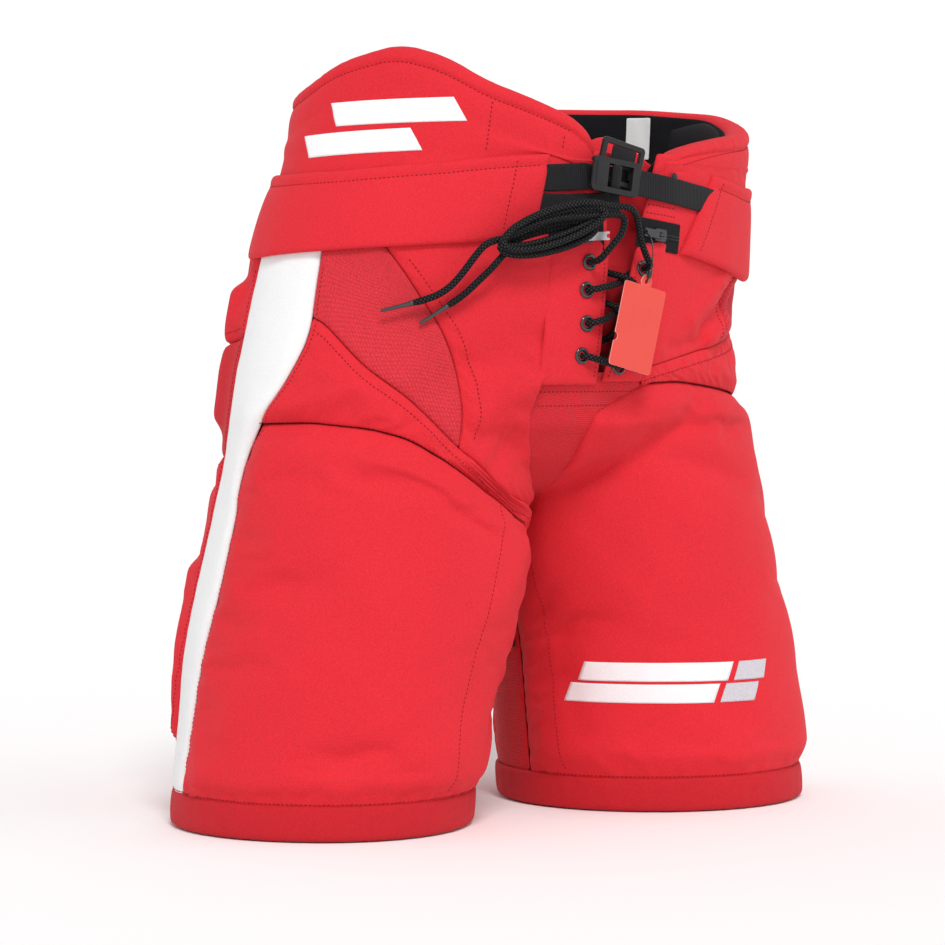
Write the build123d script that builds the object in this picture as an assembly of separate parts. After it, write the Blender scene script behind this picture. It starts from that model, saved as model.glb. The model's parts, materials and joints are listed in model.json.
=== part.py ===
"""Padded ice-hockey pants, standing upright on their two leg hems.

Millimetres. +Z is up, the wearer's front is -Y and the wearer's left is +X.
The origin is on the floor, at the middle of the outline that the pants cover.
Every shell is cut from the same two lofted bodies, the leg and the pelvis, at a
depth counted inwards from the outer cloth: cover, guard plate, foam, lining.
"""
from build123d import *
import math
import os

os.makedirs("parts", exist_ok=True)

# Outer shape ------------------------------------------------------------------
BODY_Y = 7.0  # the body's middle, so that the outline is centred on the origin
LEG_RX, LEG_RY = 117.0, 116.0
LEG_LEVELS = [(0.0, 146.0), (128.0, 134.0), (250.0, 106.0)]  # height, leg axis from the middle
PELVIS_LEVELS = [  # height, half width, half depth, lean towards the wearer's left
    (231.0, 224.0, 119.0, 0.0),
    (330.0, 211.0, 131.0, 0.0),
    (380.0, 204.0, 132.0, 3.0),
    (430.0, 199.0, 130.0, 10.0),
    (480.0, 192.0, 128.0, 22.0),
    (530.0, 188.0, 127.0, 28.0),
    (570.0, 183.0, 125.0, 32.0),
]
CROTCH_Z = 231.0
WAIST_Z = 484.0  # the pelvis panels end here and the collars begin

# Layers, as depths below the outer cloth ---------------------------------------
COVER = 3.0
GUARD_OUT, GUARD_IN = 3.3, 6.2
FOAM_OUT, FOAM_IN = 6.5, 15.5
PAD_OUT, PAD_IN = 3.3, 15.5
LINING_OUT, LINING_IN = 16.0, 18.0
TONGUE_OUT, TONGUE_IN = 18.4, 20.8
LAYER_TOP = 4.0  # how far under the crotch step the leg's inner layers stop
LEDGE = 0.4  # gap between nodes that would otherwise share a slanted cut

# Hip band: the cloth between these two slanted planes bends when a leg flexes ----
HIP_SLOPE = 0.7  # rise of each plane per unit of distance from the middle
HIP_TOP_Z, HIP_BOTTOM_Z = 250.0, 128.0  # height of the planes at the middle
HIP_GAP = 1.0
MIDDLE_GAP = 0.5

# Leg panels: angles about the leg's axis, for the wearer's right leg -------------
LEG_WEDGES = {
    "thigh_panel": (-182.0, -25.0),
    "inner_panel": (-25.0, 40.0),
    "back_thigh_panel": (40.0, 152.0),
    "side_stripe_panel": (152.0, 178.0),
}
HIP_WEDGES = {
    "front_vent": (-172.0, -40.0),
    "seat_gusset": (40.0, 188.0),
}
GROIN_WEDGE = (-40.0, 40.0)
HEM_HEIGHT, HEM_PROUD = 25.0, 1.0

# Belt and fly --------------------------------------------------------------------
TUNNEL_Z = (414.0, 484.0)
TUNNEL_PROUD, TUNNEL_CLOTH = 6.0, 1.2
WEB_WIDTH, WEB_PROUD, WEB_THICK = 20.0, 2.4, 1.8
WEB_Z_RIGHT, WEB_Z_LEFT, WEB_SLOPE_LEFT = 465.0, 463.0, -0.12
EYELET_RIGHT = [(-11.0, 407.0), (-14.0, 387.0), (-14.0, 363.0), (-18.0, 340.0)]
EYELET_LEFT = [(38.0, 403.0), (31.0, 381.0), (23.0, 357.0), (15.0, 332.0)]
EYELET_FLANGE_R, EYELET_BARREL_R, EYELET_HOLE_R = 6.0, 3.9, 3.25
FLY_HOLE_R = 4.0
PLACKET = 2.8
LACE_D = 5.0
FLY_EDGE_RIGHT = ((-3.0, 320.0), (7.0, 411.0))  # two points, x and z, of each free edge
FLY_EDGE_LEFT = ((1.0, 320.0), (28.0, 403.0))
FLY_BOTTOM_Z, FLY_SEAM_X = 320.0, -1.0  # below the fly the front panels meet in one seam

# Collar outline ------------------------------------------------------------------
HUMP = (-131.0, -61.0, 562.0)  # top of the wearer's right kidney pad
HUMP_SLOPE_X, HUMP_SLOPE_Y = -0.494, -0.19
RIM_Z, LEFT_RIM_POINT, LEFT_RIM_SLOPE = 533.0, (-61.0, 503.0), 0.29  # the back's height
COLLAR_END_RIGHT_X, COLLAR_END_LEFT_X = -9.5, 66.0

REACH = 420.0  # large enough to cut through the whole body
RIGHT, LEFT = -1, 1
SIDES = {"right": RIGHT, "left": LEFT}


# Shape helpers --------------------------------------------------------------------
def save(name, shape):
    shape.label = name
    export_step(shape, f"parts/{name}.step")


def at_level(levels, z):
    """The values of a level table at one height."""
    if z <= levels[0][0]:
        return levels[0][1:]
    for low, high in zip(levels, levels[1:]):
        if z <= high[0]:
            share = (z - low[0]) / (high[0] - low[0])
            return tuple(a + (b - a) * share for a, b in zip(low[1:], high[1:]))
    return levels[-1][1:]


def front(x, z, proud=0.0):
    """The point of the pelvis' front at x and z, standing proud of the cloth."""
    rx, ry, lean = at_level(PELVIS_LEVELS, z)
    across = (x - lean) / (rx + proud)
    return Vector(x, BODY_Y - (ry + proud) * math.sqrt(1.0 - across * across), z)


def leg_body(side, depth):
    sections = [
        Pos(side * x, BODY_Y, z) * Ellipse(LEG_RX - depth, LEG_RY - depth) for z, x in LEG_LEVELS
    ]
    return loft(sections, ruled=True)


def pelvis_body(depth):
    sections = [
        Pos(lean, BODY_Y, z) * Ellipse(rx - depth, ry - depth) for z, rx, ry, lean in PELVIS_LEVELS
    ]
    return loft(sections, ruled=True)


def above(shape, z):
    return split(shape, bisect_by=Plane.XY.offset(z), keep=Keep.TOP)


def below(shape, z):
    return split(shape, bisect_by=Plane.XY.offset(z), keep=Keep.BOTTOM)


def hip_plane(side, z):
    return Plane(origin=(0, 0, z), z_dir=(-side * HIP_SLOPE, 0, 1))


def over_hip(shape, side, z):
    return split(shape, bisect_by=hip_plane(side, z), keep=Keep.TOP)


def under_hip(shape, side, z):
    return split(shape, bisect_by=hip_plane(side, z), keep=Keep.BOTTOM)


def on_side(shape, side):
    plane = Plane(origin=(side * MIDDLE_GAP, 0, 0), z_dir=(side, 0, 0))
    return split(shape, bisect_by=plane, keep=Keep.TOP)


def wedge(side, centre_x, start, end):
    """A tall sector about an upright axis; angles are mirrored for the left side."""
    steps = max(2, math.ceil((end - start) / 45.0))
    turn = -side
    corners = [(centre_x, BODY_Y)]
    for i in range(steps + 1):
        a = math.radians(start + (end - start) * i / steps)
        corners.append((centre_x + turn * REACH * math.cos(a), BODY_Y + REACH * math.sin(a)))
    outline = make_face(Polyline(*corners, close=True))
    return Pos(0, 0, -5) * extrude(outline, amount=700, dir=(0, 0, 1))


def between_x(shape, low, high):
    """Keep what lies between two upright planes, each given by two (x, z) points."""
    for (bottom, top), sign in ((low, 1), (high, -1)):
        along = Vector(top[0] - bottom[0], 0, top[1] - bottom[1])
        normal = Vector(along.Z, 0, -along.X) * sign
        plane = Plane(origin=(bottom[0], 0, bottom[1]), z_dir=normal)
        shape = split(shape, bisect_by=plane, keep=Keep.TOP)
    return shape


def upright(x):
    return ((x, 0.0), (x, 600.0))


def front_half(shape):
    return split(shape, bisect_by=Plane(origin=(0, BODY_Y, 0), z_dir=(0, -1, 0)), keep=Keep.TOP)


def leg_shell(side, outer, inner):
    return leg_body(side, outer) - leg_body(side, inner)


def pelvis_shell(outer, inner):
    return pelvis_body(outer) - pelvis_body(inner)


def half_body(side, depth):
    """Leg and pelvis of one side in one solid, so that the step between them stays closed."""
    leg = on_side(leg_body(side, depth), side)
    seat = on_side(pelvis_body(depth), side)
    if depth == 0.0:
        return below(leg, CROTCH_Z) + above(seat, CROTCH_Z)
    low, high = CROTCH_Z - depth, CROTCH_Z + depth
    neck = below(above(leg & above(seat, CROTCH_Z), CROTCH_Z), high)
    neck = neck + Pos(0, 0, -depth) * neck
    return below(leg, low) + neck + above(seat, high)


# Legs -------------------------------------------------------------------------------
def leg_layer(side, outer, inner, lift):
    """A layer behind the leg's cover, from above the hem to under the step at the crotch."""
    shell = above(leg_shell(side, outer, inner), HEM_HEIGHT + lift)
    return below(shell, CROTCH_Z - LAYER_TOP - lift)


def make_leg(word, side):
    cover = above(half_body(side, 0.0) - half_body(side, COVER), HEM_HEIGHT)
    cover = under_hip(cover, side, HIP_BOTTOM_Z)
    axis_x = side * LEG_LEVELS[1][1]
    for name, (start, end) in LEG_WEDGES.items():
        save(f"{name}_{word}", cover & wedge(side, axis_x, start, end))
    hem = below(leg_shell(side, -HEM_PROUD, LINING_IN), HEM_HEIGHT)
    save(f"hem_band_{word}", hem)
    lining = under_hip(leg_layer(side, LINING_OUT, LINING_IN, 0.0), side, HIP_BOTTOM_Z)
    save(f"leg_lining_{word}", lining)
    foam = under_hip(leg_layer(side, FOAM_OUT, FOAM_IN, 2.0), side, HIP_BOTTOM_Z - 4.0)
    save(f"thigh_foam_{word}", foam & wedge(side, axis_x, -160.0, -30.0))
    guard = under_hip(leg_layer(side, GUARD_OUT, GUARD_IN, 8.0), side, HIP_BOTTOM_Z - 14.0)
    save(f"thigh_guard_{word}", guard & wedge(side, axis_x, -150.0, -42.0))


# Hip bands: these three cloth pieces of each side bend when the leg flexes ---------------
HIP_AXIS_X = 115.0


def hip_band(side):
    band = half_body(side, 0.0) - half_body(side, COVER)
    band = over_hip(band, side, HIP_BOTTOM_Z + HIP_GAP)
    return under_hip(band, side, HIP_TOP_Z)


def make_hip_bands():
    groins = []
    for word, side in SIDES.items():
        band = hip_band(side)
        for name, (start, end) in HIP_WEDGES.items():
            save(f"{name}_{word}", band & wedge(side, side * HIP_AXIS_X, start, end))
        groins += (band & wedge(side, side * HIP_AXIS_X, *GROIN_WEDGE)).solids()
    save("groin_gusset", Compound(children=groins))


# Pelvis covers, pads and lining -----------------------------------------------------------
def over_both_hips(shape, gap=0.0):
    for side in (RIGHT, LEFT):
        shape = over_hip(shape, side, HIP_TOP_Z + gap)
    return shape


def make_pelvis():
    cover = over_both_hips(below(pelvis_shell(0.0, COVER), WAIST_Z))
    holes = [fly_bore(x, z, FLY_HOLE_R) for x, z in EYELET_RIGHT + EYELET_LEFT]
    ahead = front_half(cover)
    fly, seam = above(ahead, FLY_BOTTOM_Z), below(ahead, FLY_BOTTOM_Z)
    right = between_x(fly, upright(-REACH), FLY_EDGE_RIGHT)
    right = right + between_x(seam, upright(-REACH), upright(FLY_SEAM_X))
    left = between_x(fly, FLY_EDGE_LEFT, upright(REACH))
    left = left + between_x(seam, upright(FLY_SEAM_X), upright(REACH))
    save("pelvis_front_right", (right & wedge(RIGHT, 10.0, -167.0, 0.0)) - holes)
    save("pelvis_front_left", (left & wedge(LEFT, 10.0, -167.0, 0.0)) - holes)
    stripes = [(cover & wedge(side, 10.0, 172.0, 193.0)).solid() for side in (RIGHT, LEFT)]
    save("hip_stripes", Compound(children=stripes))
    save("seat_panel", cover & wedge(RIGHT, 10.0, 8.0, 172.0))
    padding = over_both_hips(below(pelvis_shell(PAD_OUT, PAD_IN), WAIST_Z - LEDGE), LEDGE)
    save("hip_pad_right", padding & wedge(RIGHT, 10.0, 128.0, 205.0))
    save("hip_pad_left", padding & wedge(LEFT, 10.0, 128.0, 205.0))
    save("tailbone_pad", padding & wedge(RIGHT, 10.0, 62.0, 118.0))
    lining = over_both_hips(below(pelvis_shell(LINING_OUT, LINING_IN), WAIST_Z - LEDGE), LEDGE)
    save("waist_lining", lining & wedge(RIGHT, 20.0, -68.0, 248.0))
    tongue = below(above(pelvis_shell(TONGUE_OUT, TONGUE_IN), 318.0), 497.0)
    save("fly_tongue", between_x(front_half(tongue), upright(-24.0), upright(62.0)))


def make_plackets():
    strip = front_half(below(above(pelvis_shell(-PLACKET, 0.0), 322.0), 413.0))
    holes = [fly_bore(x, z, FLY_HOLE_R) for x, z in EYELET_RIGHT + EYELET_LEFT]
    right = between_x(strip, ((-52.0, 322.0), (-43.0, 413.0)), FLY_EDGE_RIGHT)
    left = between_x(strip, FLY_EDGE_LEFT, ((38.0, 322.0), (62.0, 413.0)))
    save("fly_placket_right", right - holes)
    save("fly_placket_left", left - holes)


def fly_bore(x, z, radius):
    middle = front(x, z)
    return Pos(x, middle.Y, z) * Rot(90, 0, 0) * Cylinder(radius, 24.0)


def make_eyelets():
    rings = []
    for x, z in EYELET_RIGHT + EYELET_LEFT:
        face = front(x, z, PLACKET).Y
        flange = Pos(x, face - 1.2, z) * Rot(90, 0, 0) * Cylinder(EYELET_FLANGE_R, 1.0)
        barrel = Pos(x, face + 2.3, z) * Rot(90, 0, 0) * Cylinder(EYELET_BARREL_R, 6.8)
        rings.append(flange + barrel - fly_bore(x, z, EYELET_HOLE_R))
    save("fly_eyelets", Compound(children=rings))


# Collars, with the kidney pads between their cover and their black lining --------------------
def under(shape, lines, drop):
    for line in lines:
        shape = split(shape, bisect_by=line.offset(-drop), keep=Keep.BOTTOM)
    return shape


def collar_lines(word):
    """The slanted planes that a collar stays under: its front's, then its back's."""
    if word == "right":
        across = Plane(origin=(HUMP[0], 0, HUMP[2]), z_dir=(-HUMP_SLOPE_X, 0, 1))
        along = Plane(origin=(0, HUMP[1], HUMP[2]), z_dir=(0, -HUMP_SLOPE_Y, 1))
        return [across, along], [along, Plane.XY.offset(RIM_Z)]
    y, z = LEFT_RIM_POINT
    lines = [Plane(origin=(0, y, z), z_dir=(0, -LEFT_RIM_SLOPE, 1)), Plane.XY.offset(RIM_Z)]
    return lines, lines


def make_collars():
    back_x = at_level(PELVIS_LEVELS, 510.0)[2]
    behind = Plane(origin=(0, BODY_Y, 0), z_dir=(0, 1, 0))
    linings = []
    for word in SIDES:
        if word == "right":
            limits = (upright(-REACH), upright(COLLAR_END_RIGHT_X))
            back_limits = (upright(-REACH), upright(back_x))
        else:
            limits = (upright(COLLAR_END_LEFT_X), upright(REACH))
            back_limits = (upright(back_x), upright(REACH))
        front_lines, back_lines = collar_lines(word)

        def arc(outer, inner, drop):
            ring = above(pelvis_shell(outer, inner), WAIST_Z)
            front_part = between_x(under(front_half(ring), front_lines, drop), *limits)
            back_part = split(under(ring, back_lines, drop), bisect_by=behind, keep=Keep.TOP)
            return front_part + between_x(back_part, *back_limits)

        cap = arc(0.0, LINING_IN, 0.0) - arc(COVER, LINING_IN + 1.0, COVER)
        save(f"collar_{word}", cap)
        save(f"kidney_pad_{word}", arc(PAD_OUT, PAD_IN - 2.0, COVER + LEDGE))
        linings += arc(PAD_IN - 1.6, LINING_IN, COVER + LEDGE).solids()
    save("collar_lining", Compound(children=linings))


def make_folded_flap():
    """The top of the left kidney pad, folded down inside the collar."""
    flap = below(above(pelvis_shell(LINING_IN + 0.5, LINING_IN + 13.0), 462.0), 512.0)
    save("kidney_flap_left", flap & wedge(LEFT, 28.0, -158.0, -112.0))


# Belt ---------------------------------------------------------------------------------------
def make_belt():
    low, high = TUNNEL_Z
    band = below(above(pelvis_shell(-TUNNEL_PROUD, 0.0), low), high)
    pocket = pelvis_shell(-TUNNEL_PROUD + TUNNEL_CLOTH, -TUNNEL_CLOTH)
    sleeve = band - below(above(pocket, low + 4.0), high - 3.0)
    back_x = at_level(PELVIS_LEVELS, 450.0)[2]
    rear = split(sleeve, bisect_by=Plane(origin=(0, BODY_Y, 0), z_dir=(0, 1, 0)), keep=Keep.TOP)
    ahead = front_half(sleeve)
    right = between_x(ahead, upright(-REACH), upright(-50.0))
    right = right + between_x(rear, upright(-REACH), upright(back_x))
    left = between_x(ahead, ((77.0, 414.0), (117.0, 473.0)), upright(REACH))
    left = left + between_x(rear, upright(back_x), upright(REACH))
    save("belt_tunnel_right", right)
    save("belt_tunnel_left", left)

    web = pelvis_shell(-WEB_PROUD - WEB_THICK, -WEB_PROUD)
    half = WEB_WIDTH / 2.0
    level = below(above(web, WEB_Z_RIGHT - half), WEB_Z_RIGHT + half)
    right = between_x(level, upright(-REACH), upright(-18.0))
    sloped = web
    for edge, keep in ((-half, Keep.TOP), (half, Keep.BOTTOM)):
        plane = Plane(origin=(36.0, 0, WEB_Z_LEFT + edge), z_dir=(-WEB_SLOPE_LEFT, 0, 1))
        sloped = split(sloped, bisect_by=plane, keep=keep)
    left = between_x(sloped, upright(28.0), upright(REACH))
    tail = below(above(pelvis_shell(-2.1, -0.4), 439.0), 457.0)
    tail = front_half(between_x(tail, upright(-48.0), upright(16.0)))
    strap = (right + hook_loop()).solids() + tail.solids()
    save("belt_webbing_right", Compound(children=strap))
    save("belt_webbing_left", left + frame_loop())
    stud = front(70.0, WEB_Z_LEFT - 2.0, WEB_PROUD + WEB_THICK + 1.7)
    save("belt_stud", Pos(stud) * Rot(90, 0, 0) * Cylinder(3.4, 2.2))


# Buckle: a hook frame that folds out about its webbing bar, in front of a loop frame ------------
HOOK_CENTRE, HOOK_TILT = Vector(7.0, -132.3, 468.5), 8.0
HOOK_W, HOOK_H, HOOK_T = 42.0, 25.0, 4.0
HOOK_BAR_X, HOOK_BAR_R = -19.0, 1.75
LOOP_CENTRE, LOOP_TILT = Vector(15.0, -127.8, 478.0), 14.0
LOOP_W, LOOP_H, LOOP_T = 38.0, 32.0, 3.4
RAIL = 4.0


def buckle_place(centre, tilt):
    """A flat place facing -Y whose local x runs along the belt, dropping by the tilt."""
    t = math.radians(tilt)
    return Plane(origin=centre, x_dir=(math.cos(t), 0, -math.sin(t)), z_dir=(0, -1, 0))


def frame_plate(width, height, thick):
    return extrude(RectangleRounded(width, height, 3.0), amount=thick / 2.0, both=True)


def hook_loop():
    """The webbing's end, sewn round the hook frame's bar."""
    place = buckle_place(HOOK_CENTRE, HOOK_TILT)
    ring = Pos(HOOK_BAR_X, 0, 0) * Rot(90, 0, 0) * (
        Cylinder(HOOK_BAR_R + 1.7, 16.0) - Cylinder(HOOK_BAR_R + 0.1, 17.0)
    )
    tongue = Pos(HOOK_BAR_X - 5.0, 0, -2.6) * Box(9.0, 16.0, 1.6)
    riser = Pos(HOOK_BAR_X - 8.6, 0, -6.4) * Box(1.8, 16.0, 8.4)
    bore = Pos(HOOK_BAR_X, 0, 0) * Rot(90, 0, 0) * Cylinder(HOOK_BAR_R + 0.1, 17.0)
    return place * (ring + tongue + riser - bore)


def frame_loop():
    """The left webbing's end, sewn round the loop frame's outer rail."""
    over = Pos(36.0, -130.9, WEB_Z_LEFT) * Box(12.0, 1.4, 17.0)
    riser = Pos(41.2, -127.2, WEB_Z_LEFT) * Box(1.8, 8.8, 17.0)
    return over + riser


def make_buckle():
    plate = frame_plate(HOOK_W, HOOK_H, HOOK_T)
    windows = Pos(-13.0, 0, 0) * Box(22.0, HOOK_H - 2 * RAIL, 8.0)
    windows = windows + Pos(8.0, 0, 0) * Box(13.0, HOOK_H - 2 * RAIL, 8.0)
    bar = Pos(HOOK_BAR_X, 0, 0) * Rot(90, 0, 0) * Cylinder(HOOK_BAR_R, HOOK_H - RAIL)
    hook = Pos(15.5, 3.0, -3.4) * Box(3.0, 7.0, 3.4)
    save("buckle_hook_half", buckle_place(HOOK_CENTRE, HOOK_TILT) * (plate - windows + bar + hook))
    ring = frame_plate(LOOP_W, LOOP_H, LOOP_T)
    ring = ring - Box(LOOP_W - 2 * RAIL, LOOP_H - 2 * RAIL, 8.0)
    save("buckle_loop_half", buckle_place(LOOP_CENTRE, LOOP_TILT) * ring)


# Length-extension zippers beside the fly, and the hang tag ----------------------------------------
ZIP_WIDTH, TAPE_THICK, TAPE_PROUD = 22.0, 1.2, 2.8
SLIDER_L, SLIDER_W, SLIDER_T = 12.0, 9.0, 2.6
PULL_L, PULL_W, PULL_T = 19.0, 6.0, 1.5
ZIPS = {  # the fly end and the outer end of each tape, as x and z, and the slider's place
    "left": ((32.0, 430.0), (76.0, 424.5), 22.0),
    "right": ((2.0, 426.0), (-44.0, 424.0), 17.0),
}


def zip_place(word):
    (x0, z0), (x1, z1), _ = ZIPS[word]
    a, b = front(x0, z0, TAPE_PROUD), front(x1, z1, TAPE_PROUD)
    along = (b - a).normalized()
    normal = Vector(along.Y, -along.X, 0) * (1 if b.X > a.X else -1)
    return Plane(origin=a, x_dir=along, z_dir=normal), (b - a).length


def make_zippers():
    for word in SIDES:
        place, length = zip_place(word)
        centre = ZIPS[word][2]
        tape = Pos(length / 2.0, 0, 0) * Box(length, ZIP_WIDTH, TAPE_THICK)
        save(f"zipper_tape_{word}", place * tape)
        body = Pos(centre, 0, 0.9 + SLIDER_T / 2.0) * Box(SLIDER_L, SLIDER_W, SLIDER_T)
        bridge = Pos(centre, 0, 4.5) * (Box(6.0, 2.0, 2.6) - Pos(0, 0, -0.2) * Box(2.6, 3.0, 2.6))
        save(f"zipper_slider_{word}", place * fillet(body.edges().filter_by(Axis.Z), 2.0) + place * bridge)
        pin = Pos(centre, 0, 4.7) * Rot(90, 0, 0) * Cylinder(0.6, PULL_W)
        arms = Pos(centre - 1.5, 0, 4.7)
        left_arm = arms * Pos(0, PULL_W / 2.0 - 0.6, 0) * Box(4.0, 1.2, PULL_T)
        right_arm = arms * Pos(0, -PULL_W / 2.0 + 0.6, 0) * Box(4.0, 1.2, PULL_T)
        tab = Pos(centre - 3.5 - PULL_L / 2.0 + 2.0, 0, 4.7) * Box(PULL_L - 4.0, PULL_W, PULL_T)
        eye = Pos(centre - PULL_L + 1.5, 0, 4.7) * Cylinder(1.6, 4.0)
        save(f"zipper_pull_{word}", place * (pin + left_arm + right_arm + tab - eye))


TAG_HOLE = Vector(29.0, -141.0, 393.0)
TAG_W, TAG_H, TAG_T, TAG_TILT = 38.0, 62.0, 0.8, 14.0
STRING_ROUTE = [
    (36.5, -127.2, 429.4), (36.6, -134.5, 428.4), (35.6, -141.0, 417.0), (31.6, -143.4, 404.0),
    (29.1, -143.2, 394.4), (29.0, -139.8, 393.0),
]
STRING_D = 1.2


def make_tag():
    t = math.radians(TAG_TILT)
    place = Plane(origin=TAG_HOLE, x_dir=(math.cos(t), 0, -math.sin(t)), z_dir=(0, -1, 0))
    card = Pos(0, -TAG_H / 2.0 - 3.0, 0) * RectangleRounded(TAG_W, TAG_H, 2.0)
    tab = Circle(5.0)
    outline = card + tab - Circle(1.8) - Pos(-TAG_W / 2.0, -TAG_H * 0.72, 0) * Circle(3.0)
    save("hang_tag", place * extrude(outline, amount=TAG_T / 2.0, both=True))
    save("tag_string", cord_tube(vectors(STRING_ROUTE), STRING_D, 9.0, "tag_string"))


def make_label():
    wall = pelvis_shell(LINING_IN + 0.3, LINING_IN + 1.0)
    label = below(above(wall, 495.0), 523.0)
    save("care_label", label & wedge(LEFT, 26.0, 148.0, 156.0))


# The lace ---------------------------------------------------------------------------------------------
def corner_radii(points, largest):
    """0.45 of the shorter run over the tangent of half the turn, no larger than asked."""
    radii = []
    for a, b, c in zip(points, points[1:], points[2:]):
        turn = math.radians((b - a).get_angle(c - b))
        shorter = min((b - a).length, (c - b).length)
        radii.append(min(largest, 0.45 * shorter / math.tan(turn / 2.0)))
    return radii


def cord_tube(points, diameter, largest, name):
    radii = corner_radii(points, largest)
    path = FilletPolyline(*points, radius=radii)
    start = Plane(origin=points[0], z_dir=points[1] - points[0])
    tube = sweep(start * Circle(diameter / 2.0), path=path)
    expected = math.pi * diameter**2 / 4.0 * path.length
    print(name, "length", round(path.length, 1), "volume share", round(tube.volume / expected, 4))
    print("  radii", [round(r, 1) for r in radii])
    return tube


LACE_OUT, LACE_INSIDE = 8.5, -8.5  # how far the lace's line stands off at an eyelet
LACE_END = 5.5
CROSS_SHIFT = 3.4  # crossing stretches pass this far above and below each other
OVER_EDGE, UNDER_EDGE = 6.8, -6.8


def edge_x(edge, z):
    (x0, z0), (x1, z1) = edge
    return x0 + (x1 - x0) * (z - z0) / (z1 - z0)


def crossing(start, end, over, under, shift):
    """From one eyelet over its own placket's edge, then under the other placket's edge."""
    (xa, za), (xb, zb) = start, end
    z_over = za + (zb - za) * 0.42 + shift
    z_under = za + (zb - za) * 0.62 + shift
    return [
        front(edge_x(over, z_over), z_over, OVER_EDGE),
        front(edge_x(under, z_under), z_under, UNDER_EDGE),
        front(xb, zb, LACE_INSIDE),
    ]


def through(eyelet, first, last):
    return [front(*eyelet, first), front(*eyelet, last)]


def held_route():
    right, left = EYELET_RIGHT, EYELET_LEFT
    up_right = [front(*right[0], LACE_END)]
    up_right += crossing(left[1], right[0], FLY_EDGE_LEFT, FLY_EDGE_RIGHT, CROSS_SHIFT)[::-1]
    up_right += [front(*left[1], LACE_OUT)]
    up_right += crossing(right[2], left[1], FLY_EDGE_RIGHT, FLY_EDGE_LEFT, -CROSS_SHIFT)[::-1]
    up_right += [front(*right[2], LACE_OUT), front(*right[2], LACE_INSIDE)]
    up_right += [front(2.0, 347.0, -14.0)]
    up_right += through(left[3], LACE_INSIDE, LACE_OUT)
    up_left = through(right[3], LACE_OUT, LACE_INSIDE)
    up_left += through(left[2], LACE_INSIDE, LACE_OUT)
    up_left += crossing(left[2], right[1], FLY_EDGE_LEFT, FLY_EDGE_RIGHT, CROSS_SHIFT)
    up_left += [front(*right[1], LACE_OUT)]
    up_left += crossing(right[1], left[0], FLY_EDGE_RIGHT, FLY_EDGE_LEFT, -CROSS_SHIFT)
    up_left += [front(*left[0], LACE_END)]
    return up_right + up_left


HANK_CENTRE, HANK_TURN, HANK_T = Vector(-52.0, -135.5, 428.0), -13.0, 15.0
HANK_OUTLINE = [
    (47, 4), (46, 20), (18, 23), (-26, 21), (-46, 10), (-49, -10), (-38, -23), (-6, -24), (22, -14),
]
LEAD_RIGHT = [
    (-11.0, -128.9, 407.0), (-10.9, -136.9, 407.2), (-5.0, -142.5, 417.0), (4.0, -146.2, 428.0),
    (4.5, -148.3, 440.0), (-8.0, -146.6, 441.0),
]
LEAD_LEFT = [
    (38.0, -128.0, 403.0), (37.9, -136.0, 403.2), (31.0, -136.5, 413.5), (24.5, -138.5, 427.0),
    (18.0, -144.5, 440.0), (8.0, -150.0, 446.5), (-8.0, -146.6, 446.6),
]
END_UPPER = [
    (-99.0, -124.0, 420.5), (-106.0, -119.5, 411.0), (-114.0, -114.8, 398.0), (-122.0, -109.5, 387.5),
    (-133.0, -103.4, 380.5), (-145.0, -95.5, 377.0),
]
END_LOWER = [
    (-90.0, -126.0, 408.0), (-96.0, -122.0, 400.0), (-104.0, -117.5, 391.5), (-112.0, -112.0, 382.0),
    (-122.0, -105.6, 374.5),
]
AGLET_L, AGLET_R = 22.0, 2.9


def vectors(points):
    return [Vector(*p) for p in points]


def make_lace():
    save("fly_lace", cord_tube(held_route(), LACE_D, 4.6, "fly_lace"))
    outline = make_face(Polyline(*HANK_OUTLINE, close=True))
    hank = extrude(fillet(outline.vertices(), 6.0), amount=HANK_T / 2.0, both=True)
    hank = fillet(hank.edges().group_by(Axis.Z)[0] + hank.edges().group_by(Axis.Z)[-1], 4.0)
    place = Plane(
        origin=HANK_CENTRE,
        x_dir=(math.cos(math.radians(HANK_TURN)), math.sin(math.radians(HANK_TURN)), 0),
        z_dir=(math.sin(math.radians(HANK_TURN)), -math.cos(math.radians(HANK_TURN)), 0),
    )
    save("lace_hank", place * hank)
    aglets = []
    for word, lead, end in (("upper", LEAD_LEFT, END_UPPER), ("lower", LEAD_RIGHT, END_LOWER)):
        first = cord_tube(vectors(lead), LACE_D, 30.0, f"{word} lead")
        last = cord_tube(vectors(end), LACE_D, 60.0, f"{word} end")
        save(f"lace_tail_{word}", Compound(children=[first.solid(), last.solid()]))
        stop, before = Vector(*end[-1]), Vector(*end[-2])
        place = Plane(origin=stop, z_dir=stop - before)
        aglets.append(place * Pos(0, 0, AGLET_L / 2.0) * Cylinder(AGLET_R, AGLET_L))
    save("lace_aglets", Compound(children=aglets))


for side_word, side_sign in SIDES.items():
    make_leg(side_word, side_sign)
make_hip_bands()
make_pelvis()
make_plackets()
make_eyelets()
make_collars()
make_folded_flap()
make_belt()
make_buckle()
make_zippers()
make_tag()
make_label()
make_lace()
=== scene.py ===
"""Looks of the padded ice-hockey pants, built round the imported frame.

Design values are millimetres and degrees. Every point goes through MM once, when a mesh is made.
Right half: angle 0 points at the other leg, -90 to the front, 90 to the back, 180 outwards.
The left half uses the same angles, mirrored.
"""
import json
import math

import bmesh
import bpy
import numpy as np
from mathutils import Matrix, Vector
from mathutils.bvhtree import BVHTree

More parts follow.
